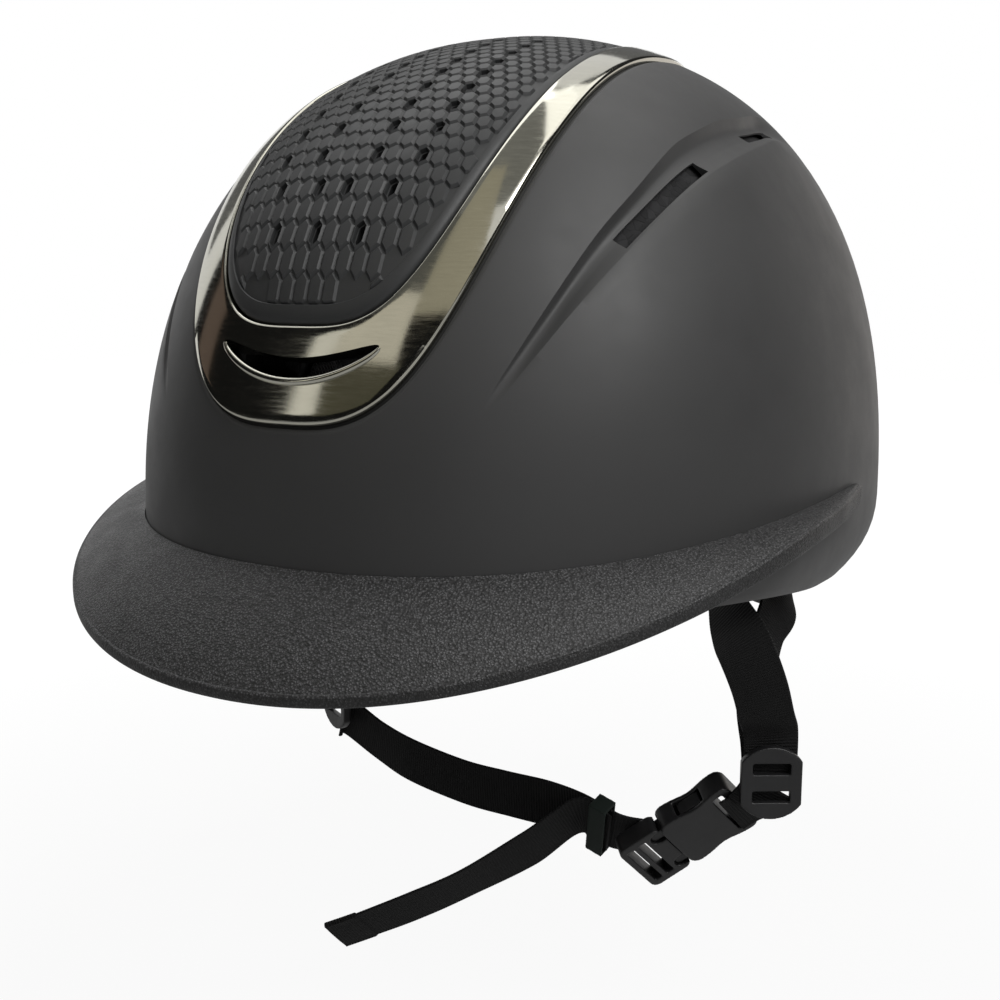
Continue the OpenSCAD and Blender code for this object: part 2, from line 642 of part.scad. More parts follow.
module strap_tail() {
    color([0.06, 0.06, 0.06]) webbing(tail_run);
}

// Keeper: an elastic band round the chin strap and the tail
module strap_keeper() {
    room = 2 * layer + web_t + 1.2;
    band = 1.1;
    color([0.04, 0.05, 0.045])
    multmatrix([[keeper_t.x, keeper_u.x, keeper_n.x, keeper_at.x],
        [keeper_t.y, keeper_u.y, keeper_n.y, keeper_at.y],
        [keeper_t.z, keeper_u.z, keeper_n.z, keeper_at.z]])
        rotate([90, 0, 90])
            translate([0, 0, -keeper_l / 2])
                linear_extrude(keeper_l)
                    difference() {
                        square([web_w + 1.6 + 2 * band, room + 2 * band], center = true);
                        square([web_w + 1.6, room], center = true);
                    }
}

// Fit system
// Plan path of the band, from the temple at t = 0 to the nape at t = 1
band_pow = 2.6;
function band_xy(x) = cradle_rear * pow(max(0, 1 - pow(abs(x) / cradle_half, band_pow)), 1 / band_pow);
function band_z(t) = lerp(-27, dial_z, smooth(t * 1.3));
housing_half = 31;
housing_t = 7;
housing_h = 25;
rack_h = 5;
pitch_r = pinion_teeth * tooth_mod / 2;
hinge_at = [cradle_half, -8, -16];
rack_len = housing_half + 8;
floor_t = 2;
rack_t = housing_t - floor_t - 2 * run_gap;
rack_y = band_xy(rack_len);
housing_y = rack_y - floor_t / 2;
module fit_arm() {
    n = 16;
    turn = acos(pow((rack_len + run_gap) / cradle_half, 4 / 3));
    color([0.07, 0.07, 0.07])
    union() {
        bar_loft([for (i = [0 : n]) let (t = i / n, x = cradle_half * pow(cos(turn * t), 0.75),
            y = lerp(hinge_at.y + 4, band_xy(x), smooth(t * 2.2)),
            h = lerp(5, band_h / 2, smooth(t * 3)), z = lerp(hinge_at.z, band_z(t), smooth(t * 2.5)),
            out = unit([pow(x / cradle_half, 1.6), pow(max(y, 0) / cradle_rear, 1.6)]) * band_t / 2)
            [[x - out.x, y - out.y, z + h], [x - out.x, y - out.y, z - h],
                [x + out.x, y + out.y, z - h], [x + out.x, y + out.y, z + h]]]);
        translate([hinge_at.x - band_t / 2, hinge_at.y, hinge_at.z])
            rotate([0, 90, 0])
                difference() {
                    cylinder(r = 7.5, h = band_t, $fn = 48);
                    translate([0, 0, -1]) cylinder(r = pin_r + pin_gap, h = band_t + 2, $fn = 48);
                }
    }
}
module left_fit_arm() {
    fit_arm();
}
module right_fit_arm() {
    mirror([1, 0, 0]) fit_arm();
}
// Pins stand out of the liner's wall and carry the arms
pin_in = 3.5;
module temple_pins() {
    color([0.3, 0.3, 0.31])
        for (m = [0, 1])
            mirror([m, 0, 0])
                translate([cradle_half - pin_in, hinge_at.y, hinge_at.z])
                    rotate([0, 90, 0]) {
                        cylinder(r = pin_r, h = pin_in + 5, $fn = 48);
                        cylinder(r = pin_r + 2.2, h = pin_in - band_t / 2 - run_gap, $fn = 48);
                    }
}

// Rack: teeth face the pinion, side = 1 is the left rack below it
module rack(side) {
    pitch = PI * tooth_mod;
    root = -pitch_r - 1.25 * tooth_mod;
    tip = -pitch_r + 0.85 * tooth_mod;
    low = root - rack_h;
    last = floor(rack_len / pitch) - 2;
    color([0.07, 0.07, 0.07])
    translate([0, rack_y - rack_t / 2, dial_z])
        rotate([0, side > 0 ? 0 : 180, 0])
            translate([0, rack_t, 0])
                rotate([90, 0, 0])
                    linear_extrude(rack_t)
                        polygon(concat([[-5, low], [rack_len, low], [rack_len, root]],
                            [for (i = [last : -1 : -1]) let (x = (i + 0.5) * pitch)
                                each [[x + 1.1 * tooth_mod, root], [x + 0.3 * tooth_mod, tip],
                                    [x - 0.3 * tooth_mod, tip], [x - 1.1 * tooth_mod, root]]],
                            [[-5, root]]));
}
module left_rack() {
    rack(1);
}
module right_rack() {
    rack(-1);
}
shaft_r = 2.4;
cover_t = 1.8;
// How far the dial stands off the cover, room for the spring
dial_up = 1.6;
module drive_pinion() {
    tooth = 360 / pinion_teeth;
    color([0.6, 0.6, 0.58])
    translate([0, rack_y - rack_t / 2, dial_z])
        rotate([-90, 0, 0]) {
            linear_extrude(rack_t)
                union() {
                    circle(r = pitch_r - 1.15 * tooth_mod, $fn = 48);
                    for (i = [0 : pinion_teeth - 1])
                        rotate(i * tooth + 90)
                            polygon([[pitch_r - 1.3 * tooth_mod, -0.8 * tooth_mod],
                                [pitch_r + 0.8 * tooth_mod, -0.26 * tooth_mod],
                                [pitch_r + 0.8 * tooth_mod, 0.26 * tooth_mod],
                                [pitch_r - 1.3 * tooth_mod, 0.8 * tooth_mod]]);
                }
            translate([0, 0, rack_t]) cylinder(r = shaft_r, h = run_gap + cover_t + dial_up + 2, $fn = 48);
        }
}
module cradle_housing() {
    room = pitch_r + 1.25 * tooth_mod + rack_h + run_gap;
    color([0.07, 0.07, 0.07])
    difference() {
        translate([0, housing_y, dial_z])
            rotate([-90, 0, 0]) rounded_plate(2 * housing_half, housing_h, housing_t, 8);
        translate([-housing_half - 1, housing_y - housing_t / 2 + floor_t, dial_z - room])
            cube([2 * housing_half + 2, housing_t, 2 * room]);
    }
}
module housing_cover() {
    y = housing_y + housing_t / 2;
    color([0.07, 0.07, 0.07])
    difference() {
        translate([0, y, dial_z])
            rotate([-90, 0, 0])
                translate([0, 0, cover_t / 2]) rounded_plate(2 * housing_half, housing_h, cover_t, 8);
        translate([0, y - 1, dial_z])
            rotate([-90, 0, 0]) cylinder(r = shaft_r + pin_gap, h = cover_t + 2, $fn = 48);
    }
}
dial_h = 7;
grips = 18;
module fit_dial() {
    y = housing_y + housing_t / 2 + cover_t + dial_up;
    color([0.08, 0.08, 0.08])
    translate([0, y, dial_z])
        rotate([-90, 0, 0])
            difference() {
                union() {
                    cylinder(r = dial_r, h = dial_h - 1.5, $fn = 72);
                    translate([0, 0, dial_h - 1.5]) cylinder(r1 = dial_r, r2 = dial_r - 1.5, h = 1.5, $fn = 72);
                }
                for (i = [0 : grips - 1])
                    rotate(i * 360 / grips)
                        translate([dial_r + 0.5, 0, -1]) cylinder(r = 1.3, h = dial_h + 2, $fn = 16);
                translate([0, 0, -1]) cylinder(r = shaft_r + pin_gap / 2, h = 3.2, $fn = 48);
            }
}
// Ratchet spring: a flat spider between cover and dial
module ratchet_spring() {
    y = housing_y + housing_t / 2 + cover_t + 0.03;
    color([0.7, 0.7, 0.7])
    translate([0, y, dial_z])
        rotate([-90, 0, 0])
            linear_extrude(0.9)
                difference() {
                    union() {
                        circle(r = 5.5, $fn = 48);
                        for (a = [0, 120, 240])
                            rotate(a) translate([5, -1.2]) square([5.2, 2.4]);
                    }
                    circle(r = shaft_r + 0.3, $fn = 48);
                }
}
// Nape pad: a soft strip on the head's side of the housing
module nape_pad() {
    n = 16;
    y0 = housing_y - housing_t / 2 - seat_gap;
    color([0.1, 0.1, 0.1])
    bar_loft([for (i = [0 : n]) let (s = 2 * i / n - 1, size = max(0.15, pow(1 - pow(abs(s), 4), 0.5)),
        x = s * (housing_half + 6))
        [for (k = [0 : 11]) let (a = -k * 30 - 15, up = powered(cos(a), 0.6), in = powered(sin(a), 0.6),
            back = in > 0 ? 6 * in * (0.4 + 0.6 * size) : 0.25 * in)
            [x, y0 - back, dial_z + up * size * (housing_h / 2 - 1)]]]);
}

outer_shell();
eps_liner();
liner_edge_trim();
visor_brim();
vent_trim();
hex_vent_panel();
brow_pad();
crown_pad();
left_side_pad();
right_side_pad();
harness_anchors();
left_front_strap();
left_rear_strap();
right_front_strap();
right_rear_strap();
left_divider();
right_divider();
left_chin_strap();
right_chin_strap();
strap_tail();
strap_keeper();
buckle_socket();
buckle_plug();
upper_prong();
lower_prong();
cradle_housing();
housing_cover();
fit_dial();
drive_pinion();
ratchet_spring();
left_rack();
right_rack();
left_fit_arm();
right_fit_arm();
temple_pins();
nape_pad();
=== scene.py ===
# Riding helmet, dressed over its packed frame: soft-touch shell, grained brim, bright bezel,
# hexagon vent panel, foam, sewn pads, webbing harness, side release buckle and fit dial cradle.
import math

import bpy
import numpy as np
from bpy.props import FloatProperty, FloatVectorProperty, IntProperty, PointerProperty
from mathutils import Matrix, Vector
from mathutils.kdtree import KDTree


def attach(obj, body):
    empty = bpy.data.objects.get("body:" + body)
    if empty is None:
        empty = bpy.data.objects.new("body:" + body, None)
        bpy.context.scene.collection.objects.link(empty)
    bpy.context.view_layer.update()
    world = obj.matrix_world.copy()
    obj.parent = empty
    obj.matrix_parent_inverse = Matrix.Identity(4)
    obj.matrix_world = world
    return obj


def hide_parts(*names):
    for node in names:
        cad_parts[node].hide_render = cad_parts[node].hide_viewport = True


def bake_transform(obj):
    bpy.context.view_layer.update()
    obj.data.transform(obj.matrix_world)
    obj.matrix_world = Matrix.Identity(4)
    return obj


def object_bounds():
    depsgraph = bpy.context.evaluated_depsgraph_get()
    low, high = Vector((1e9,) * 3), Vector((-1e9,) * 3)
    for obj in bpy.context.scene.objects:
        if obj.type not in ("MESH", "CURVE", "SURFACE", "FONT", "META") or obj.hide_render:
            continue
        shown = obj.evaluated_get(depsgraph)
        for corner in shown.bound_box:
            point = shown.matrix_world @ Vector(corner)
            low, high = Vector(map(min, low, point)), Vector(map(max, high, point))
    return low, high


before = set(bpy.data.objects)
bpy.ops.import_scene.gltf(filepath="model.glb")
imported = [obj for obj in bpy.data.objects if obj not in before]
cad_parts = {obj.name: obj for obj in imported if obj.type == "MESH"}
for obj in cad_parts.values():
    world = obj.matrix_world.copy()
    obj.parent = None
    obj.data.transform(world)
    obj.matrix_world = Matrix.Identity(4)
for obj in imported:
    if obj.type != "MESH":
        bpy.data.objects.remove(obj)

bl_info = {
    "name": "Riding helmet",
    "version": (1, 0, 0),
    "blender": (4, 5, 0),
    "location": "View3D > Sidebar > Helmet",
    "description": "Builds the visible pieces of a riding helmet over its frame",
    "category": "Object",
}

CAD_BOX = [list(corner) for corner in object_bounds()]
MM = 0.001

# The dome, in millimetres and degrees, as the solids have it
HALF_W, FRONT, REAR, CROWN, TUCK = 115.0, 152.0, 138.0, 155.0, 52.0
PLAN_POW, FRONT_POW, REAR_POW = 2.33, 2.17, 2.4
WALL, SEAT, FOAM = 3.0, 0.35, 24.0
FOAM_G = -(WALL + SEAT)
CAVITY_G = -(WALL + SEAT + FOAM)
UPRIGHT = 400.0
RIM_FRONT, RIM_REAR = -14.0, -28.0
BRIM_TURN = 89.0
# The bezel and the panel over the crown: middle, front and back in degrees, half width, squareness in front
BEZEL_PLAN = (57.0, 43.2, 75.0, 57.0, 3.0)
PANEL_PLAN = (60.0, 36.0, 64.0, 45.0, 3.4)
# Millimetres for each degree over the crown, for insets and for the panel's cells
CROWN_ARC, PANEL_ARC = 2.65, 2.62
# The webbing: width, thickness and the pitch of its warp
WEB_W, WEB_T, WARP_PITCH = 19.0, 1.4, 0.8


def size_property(name, words, size):
    return FloatProperty(name=name, description=words, default=size, unit="LENGTH", subtype="DISTANCE")


def colour_property(name, words, value):
    return FloatVectorProperty(name=name, description=words, subtype="COLOR", size=3, default=value, min=0, max=1)


class HelmetSizes(bpy.types.PropertyGroup):
    """Sizes of the visible detail"""

    cell_pitch: size_property("Cell pitch", "Distance between the panel's hexagon cells", 0.0046)
    cell_groove: size_property("Cell groove", "Depth of the groove between two cells", 0.0007)
    channel_depth: size_property("Channel depth", "Depth of the side channels", 0.0026)
    rib_pitch: size_property("Rib pitch", "Distance between the ribs of the webbing", 0.0011)
    shell_columns: IntProperty(name="Shell columns", description="Faces round the shell", default=480, min=96)


class HelmetColours(bpy.types.PropertyGroup):
    """Base colours of the main finishes"""

    shell: colour_property("Shell", "Soft-touch paint of the shell", (0.045, 0.045, 0.0455))
    brim: colour_property("Brim", "Grained moulding of the brim", (0.030, 0.030, 0.031))
    bezel: colour_property("Bezel", "Bright metal round the vent panel", (0.46, 0.45, 0.39))
    panel: colour_property("Panel", "Moulding of the vent panel", (0.036, 0.037, 0.038))
    webbing: colour_property("Webbing", "Harness webbing", (0.0062, 0.0062, 0.0064))


# Shape helpers: arrays of places in millimetres
def smooth(t):
    c = np.clip(t, 0.0, 1.0)
    return c * c * (3 - 2 * c)


def mix(a, b, t):
    return a + (b - a) * t


def powered(v, k):
    return np.sign(v) * np.abs(v) ** k


def unit(v):
    v = np.asarray(v, dtype=float)
    return v / np.maximum(np.linalg.norm(v, axis=-1, keepdims=True), 1e-9)


def stack(x, y, z):
    return np.stack(np.broadcast_arrays(x, y, z), axis=-1).astype(float)


def plan_mix(d):
    c = -d[..., 1] / np.maximum(np.hypot(d[..., 0], d[..., 1]), 1e-6)
    return (FRONT_POW + REAR_POW) / 2 + (FRONT_POW - REAR_POW) / 2 * c


def plan_term(d, g):
    b = np.where(d[..., 1] < 0, FRONT, REAR) + g
    return ((np.abs(d[..., 0]) / (HALF_W + g)) ** PLAN_POW
            + (np.abs(d[..., 1]) / b) ** PLAN_POW) ** (1 / PLAN_POW)


def reach(d, g=0.0, low=TUCK):
    h = np.where(d[..., 2] > 0, CROWN, low) + g
    q = plan_mix(d)
    return (plan_term(d, g) ** q + (np.abs(d[..., 2]) / h) ** q) ** (-1 / q)


def heading(az, el):
    az, el = np.radians(az), np.radians(el)
    return stack(np.sin(az) * np.cos(el), -np.cos(az) * np.cos(el), np.sin(el))


def on_dome(d, g=0.0):
    return d * (reach(d) + g)[..., None]


def plan_r(az, z, g=0.0, low=TUCK):
    d = heading(az, 0.0)
    q = plan_mix(d)
    h = np.where(np.asarray(z) > 0, CROWN, low) + g
    return (1 - (np.abs(z) / h) ** q) ** (1 / q) / plan_term(d, g)


def side(az, z, g=0.0, low=TUCK, out=0.0):
    r = plan_r(az, z, g, low) + out
    a = np.radians(az)
    return stack(r * np.sin(a), -r * np.cos(a), z)


def from_front(az):
    """Bearing as degrees away from the front, 0 to 180"""
    return np.abs((np.asarray(az) + 180) % 360 - 180)


def rim_z(az):
    return mix(RIM_FRONT, RIM_REAR, smooth((from_front(az) - 40) / 70))


def angles(d):
    d = unit(d)
    return np.degrees(np.arctan2(d[..., 0], -d[..., 1])), np.degrees(np.arcsin(np.clip(d[..., 2], -1, 1)))


def crown_dir(th, w):
    a = np.radians(th)
    r = reach(stack(0.0, -np.cos(a), np.sin(a)))
    return unit(stack(w, -r * np.cos(a), r * np.sin(a)))


def on_crown(th, w, g):
    d = crown_dir(th, w)
    return d * (reach(d) + g)[..., None]


def outline(s, plan, inset):
    mid, front, back, half, corner = plan
    c, turn = np.cos(np.radians(s)), inset / CROWN_ARC
    th = mid - np.where(c > 0, front - turn, back - turn) * c
    return th, (half - inset) * powered(np.sin(np.radians(s)), np.where(c > 0, 2 / corner, 1.25))


def frame_edge(s, inset=0.0):
    return outline(s, BEZEL_PLAN, inset)


def panel_edge(s, inset=0.0):
    return outline(s, PANEL_PLAN, inset)


# Modelling helpers
def deselect():
    if bpy.context.mode != "OBJECT":
        bpy.ops.object.mode_set(mode="OBJECT")
    bpy.ops.object.select_all(action="DESELECT")


def pick(*objs):
    deselect()
    for obj in objs:
        obj.select_set(True)
    bpy.context.view_layer.objects.active = objs[0]


def coords(obj):
    co = np.empty(len(obj.data.vertices) * 3)
    obj.data.vertices.foreach_get("co", co)
    return co.reshape(-1, 3)


def face_values(obj, what, size):
    values = np.empty(len(obj.data.polygons) * size)
    obj.data.polygons.foreach_get(what, values)
    return values.reshape(-1, size)


def lay(obj, co):
    obj.data.vertices.foreach_set("co", np.ascontiguousarray(co, dtype=np.float32).ravel())
    obj.data.update()


def edit(obj, *steps):
    """Run edit-mode steps on the whole mesh of obj"""
    pick(obj)
    bpy.ops.object.mode_set(mode="EDIT")
    bpy.ops.mesh.select_all(action="SELECT")
    for step in steps:
        step()
    bpy.ops.object.mode_set(mode="OBJECT")


def weld(obj, distance=2e-6):
    edit(obj, lambda: bpy.ops.mesh.remove_doubles(threshold=distance),
         lambda: bpy.ops.mesh.dissolve_degenerate(threshold=distance / 2))


def face_out(obj, centre=None):
    """Turn the faces outward: by volume if the mesh is closed, else away from centre"""
    mid = face_values(obj, "center", 3) - (np.zeros(3) if centre is None else np.asarray(centre) * MM)
    turned = (mid * face_values(obj, "normal", 3)).sum(1) * face_values(obj, "area", 1)[:, 0]
    if turned.sum() < 0:
        edit(obj, lambda: bpy.ops.mesh.flip_normals())


def lay_grid(name, cols, rows, place):
    """A grid primitive whose vertices are laid at place(u, v), u and v from 0 to 1, in millimetres"""
    deselect()
    bpy.ops.mesh.primitive_grid_add(x_subdivisions=cols, y_subdivisions=rows, size=2)
    obj = bpy.context.object
    obj.name = name
    co = coords(obj)
    u, v = (co[:, 0] + 1) / 2, (co[:, 1] + 1) / 2
    lay(obj, place(u, v) * MM)
    return obj


def tube_of(name, rings, closed_path=False, caps=True):
    """A skin over rings of places: rings[i, j] goes round with j and along with i"""
    m, n = rings.shape[:2]
    rows = m if closed_path else m - 1
    loop = np.concatenate([rings, rings[:1]]) if closed_path else rings
    full = np.concatenate([loop, loop[:, :1]], axis=1)

    def place(u, v):
        i = np.rint(v * rows).astype(int)
        j = np.rint(u * n).astype(int)
        return full[i, j]

    obj = lay_grid(name, n, rows, place)
    weld(obj)
    if caps and not closed_path:
        edit(obj, lambda: bpy.ops.mesh.select_all(action="DESELECT"),
             lambda: bpy.ops.mesh.select_non_manifold(extend=False, use_wire=False, use_boundary=True,
                                                      use_multi_face=False, use_non_contiguous=False,
                                                      use_verts=False),
             lambda: bpy.ops.mesh.edge_face_add())
    face_out(obj, rings.reshape(-1, 3).mean(0) if not closed_path else None)
    edit(obj, lambda: bpy.ops.mesh.normals_make_consistent(inside=False))
    return obj


def delete_faces(obj, gone):
    edit(obj, lambda: bpy.ops.mesh.select_mode(type="FACE"), lambda: bpy.ops.mesh.select_all(action="DESELECT"))
    obj.data.polygons.foreach_set("select", gone)
    bpy.ops.object.mode_set(mode="EDIT")
    bpy.ops.mesh.delete(type="FACE")
    bpy.ops.mesh.select_mode(type="VERT")
    bpy.ops.object.mode_set(mode="OBJECT")


def apply_modifier(obj, kind, **settings):
    pick(obj)
    mod = obj.modifiers.new(kind.title(), kind)
    for key, value in settings.items():
        setattr(mod, key, value)
    bpy.ops.object.modifier_apply(modifier=mod.name)


def cut(obj, tool):
    apply_modifier(obj, "BOOLEAN", object=tool, operation="DIFFERENCE", solver="EXACT")
    bpy.data.objects.remove(tool, do_unlink=True)


def join(name, objs):
    pick(*objs)
    if len(objs) > 1:
        bpy.ops.object.join()
    obj = bpy.context.object
    obj.name = name
    return obj


def settle(obj, name, body, mats, nodes=(), angle=35):
    """Name a finished piece, shade it, give it its finish and hang it on its body"""
    obj.name = name
    obj.data.name = name
    pick(obj)
    bpy.ops.object.transform_apply(location=True, rotation=True, scale=True)
    if angle:
        bpy.ops.object.shade_smooth_by_angle(angle=math.radians(angle))
    else:
        bpy.ops.object.shade_smooth()
    obj.data.materials.clear()
    for mat in mats if isinstance(mats, list) else [mats]:
        obj.data.materials.append(mat)
    if nodes:
        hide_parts(*nodes)
    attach(obj, body)
    return obj


# Finishes
def new_finish(name, tone, rough, metallic=0.0, specular=0.5):
    mat = bpy.data.materials.new(name)
    mat.use_nodes = True
    bsdf = mat.node_tree.nodes["Principled BSDF"]
    bsdf.inputs["Base Color"].default_value = (*tone, 1)
    bsdf.inputs["Roughness"].default_value = rough
    bsdf.inputs["Metallic"].default_value = metallic
    bsdf.inputs["Specular IOR Level"].default_value = specular
    return mat, mat.node_tree, bsdf


def node(tree, kind, **values):
    """A new node: each value sets an input, is linked into it or sets a property"""
    made = tree.nodes.new(kind)
    for key, value in values.items():
        if key not in made.inputs:
            setattr(made, key, value)
        elif isinstance(value, bpy.types.NodeSocket):
            tree.links.new(value, made.inputs[key])
        else:
            made.inputs[key].default_value = value
    return made


def coordinate(tree, output="Object", scale=None):
    out = node(tree, "ShaderNodeTexCoord").outputs[output]
    return out if scale is None else node(tree, "ShaderNodeMapping", Scale=scale, Vector=out).outputs["Vector"]


def noise(tree, vector, per_m, detail=2.0, rough=0.5):
    return node(tree, "ShaderNodeTexNoise", Scale=per_m, Detail=detail, Roughness=rough, Vector=vector).outputs["Fac"]


def ramp(tree, value, stops):
    made = node(tree, "ShaderNodeValToRGB", Fac=value)
    band = made.color_ramp
    while len(band.elements) < len(stops):
        band.elements.new(0.5)
    for element, (at, tone) in zip(band.elements, stops):
        element.position = at
        element.color = (*tone, 1)
    return made.outputs["Color"]


def span(tree, value, low, high, from_low=0.0, from_high=1.0):
    ends = {"From Min": from_low, "From Max": from_high, "To Min": low, "To Max": high}
    return node(tree, "ShaderNodeMapRange", Value=value, **ends).outputs["Result"]


def maths(tree, operation, a, b=0.0):
    made = node(tree, "ShaderNodeMath", operation=operation)
    for socket, value in zip(made.inputs, (a, b)):
        if isinstance(value, (int, float)):
            socket.default_value = value
        else:
            tree.links.new(value, socket)
    return made.outputs[0]


def plus(tree, a, b, k):
    return maths(tree, "ADD", a, maths(tree, "MULTIPLY", b, k))


def tint(tone, k):
    return tuple(min(1.0, c * k) for c in tone)


def finish(tree, bsdf, tone, height, strength, depth, rough=None):
    """Link a colour, a relief in millimetres and perhaps a roughness into the shader"""
    tree.links.new(tone, bsdf.inputs["Base Color"])
    bump = node(tree, "ShaderNodeBump", Strength=strength, Distance=depth * MM, Height=height)
    tree.links.new(bump.outputs["Normal"], bsdf.inputs["Normal"])
    if rough is not None:
        tree.links.new(rough, bsdf.inputs["Roughness"])


def moulded(name, tone, rough, grain=0.4, depth=0.03, spread=0.12, cloud=25.0, specular=0.4, sheen=0.0):
    """Moulded plastic or paint: clouded colour, uneven gloss and a fine grain, sizes in millimetres"""
    mat, tree, bsdf = new_finish(name, tone, rough, specular=specular)
    place = coordinate(tree)
    clouds = noise(tree, place, 1000 / cloud, 3.0, 0.55)
    clouded = ramp(tree, clouds, [(0.25, tint(tone, 1 - spread)), (0.75, tint(tone, 1 + spread))])
    worn = noise(tree, place, 1000 / (cloud * 0.3), 4.0, 0.65)
    finish(tree, bsdf, clouded, noise(tree, place, 1000 / grain, 2.0, 0.6), 0.5, depth,
           span(tree, worn, rough - 0.05, rough + 0.05, 0.3, 0.7))
    if sheen:
        bsdf.inputs["Sheen Weight"].default_value = sheen
        bsdf.inputs["Sheen Roughness"].default_value = 0.5
    return mat


def grained(name, tone, rough, pebble):
    """Leather grain: small pebbles with creases between them, sizes in millimetres"""
    mat, tree, bsdf = new_finish(name, tone, rough)
    place = coordinate(tree)
    cells = node(tree, "ShaderNodeTexVoronoi", Scale=1000 / pebble, Vector=place)
    fine = noise(tree, place, 2200 / pebble, 2.0, 0.6)
    height = maths(tree, "SUBTRACT", maths(tree, "MULTIPLY", fine, 0.8), cells.outputs["Distance"])
    # Colour follows the relief: the creases darker, painted shade, and the highest pebble tops up to five times
    # lighter, painted highlight
    painted_grain_light = ramp(tree, span(tree, height, 0.0, 1.0, -0.5, 0.5),
                  [(0.1, tint(tone, 0.4)), (0.5, tint(tone, 1.1)), (0.92, tint(tone, 5.0))])
    broad = noise(tree, place, 90.0, 3.0, 0.5)
    finish(tree, bsdf, painted_grain_light, height, 0.9, 0.28, span(tree, broad, rough - 0.06, rough + 0.06, 0.3, 0.7))
    return mat


def bright_metal(name, tone):
    """Plated trim with a long brushed grain that runs down the front"""
    mat, tree, bsdf = new_finish(name, tone, 0.1, metallic=1.0)
    streaks = noise(tree, coordinate(tree, scale=(0.12, 0.12, 1.0)), 1500.0, 4.0, 0.7)
    broad = noise(tree, coordinate(tree, scale=(1.0, 0.4, 0.12)), 60.0, 2.0, 0.5)
    both = plus(tree, maths(tree, "MULTIPLY", streaks, 0.45), broad, 0.55)
    brushed = ramp(tree, both, [(0.30, tint(tone, 0.86)), (0.5, tone), (0.72, tint(tone, 1.12))])
    finish(tree, bsdf, brushed, streaks, 0.25, 0.02, span(tree, streaks, 0.06, 0.15, 0.3, 0.7))
    return mat


def plain_metal(name, tone, rough):
    mat, tree, bsdf = new_finish(name, tone, rough, metallic=1.0)
    marks = noise(tree, coordinate(tree), 900.0, 4.0, 0.6)
    finish(tree, bsdf, ramp(tree, marks, [(0.3, tint(tone, 0.8)), (0.7, tone)]), marks, 0.1, 0.02,
           span(tree, marks, rough - 0.08, rough + 0.08, 0.3, 0.7))
    return mat


def beaded_foam(name, tone):
    """Expanded foam: pressed beads 3 mm across, each a little different in tone"""
    mat, tree, bsdf = new_finish(name, tone, 0.8, specular=0.25)
    place = coordinate(tree)
    beads = node(tree, "ShaderNodeTexVoronoi", Scale=330.0, Vector=place)
    edges = node(tree, "ShaderNodeTexVoronoi", feature="DISTANCE_TO_EDGE", Scale=330.0, Vector=place)
    grey = node(tree, "ShaderNodeSeparateColor", Color=beads.outputs["Color"]).outputs["Red"]
    finish(tree, bsdf, ramp(tree, grey, [(0.0, tint(tone, 0.7)), (1.0, tint(tone, 1.35))]),
           span(tree, edges.outputs["Distance"], 0.0, 1.0, 0.0, 0.12), 0.6, 0.25)
    return mat


def woven(name, tone, rib_mm):
    """Ribbed webbing: u runs along the strap in metres and v across it"""
    mat, tree, bsdf = new_finish(name, tone, 0.66, specular=0.2)
    parts = node(tree, "ShaderNodeSeparateXYZ", Vector=coordinate(tree, "UV")).outputs
    ribs = maths(tree, "SINE", maths(tree, "MULTIPLY", parts["X"], 2 * math.pi / (rib_mm * MM)))
    warp = maths(tree, "SINE", maths(tree, "MULTIPLY", parts["Y"], 2 * math.pi * WEB_W / WARP_PITCH))
    height = plus(tree, maths(tree, "MULTIPLY", ribs, 0.7), maths(tree, "MULTIPLY", ribs, warp), 0.5)
    height = plus(tree, height, noise(tree, coordinate(tree), 3500.0, 2.0, 0.6), 0.8)
    # Colour follows the relief: darker in the hollows between ribs, painted shade, and lighter on the rib tops,
    # painted highlight
    painted_rib_light = ramp(tree, span(tree, height, 0.0, 1.0, -1.2, 2.0), [(0.1, tint(tone, 0.45)), (0.8, tint(tone, 2.0))])
    finish(tree, bsdf, painted_rib_light, height, 0.7, 0.12)
    bsdf.inputs["Sheen Weight"].default_value = 0.02
    return mat


def knitted(name, tone):
    """Spacer mesh of the sewn pads: a net of small round holes over a soft ground"""
    mat, tree, bsdf = new_finish(name, tone, 0.85, specular=0.2)
    place = coordinate(tree)
    net = node(tree, "ShaderNodeTexVoronoi", feature="DISTANCE_TO_EDGE", Scale=620.0, Randomness=0.25, Vector=place)
    thread = span(tree, net.outputs["Distance"], 1.0, 0.0, 0.03, 0.22)
    finish(tree, bsdf, ramp(tree, thread, [(0.0, tint(tone, 0.4)), (1.0, tint(tone, 1.6))]),
           plus(tree, thread, noise(tree, place, 3000.0, 2.0, 0.6), 0.3), 0.7, 0.3)
    bsdf.inputs["Sheen Weight"].default_value = 0.35
    return mat


FINISH = {}


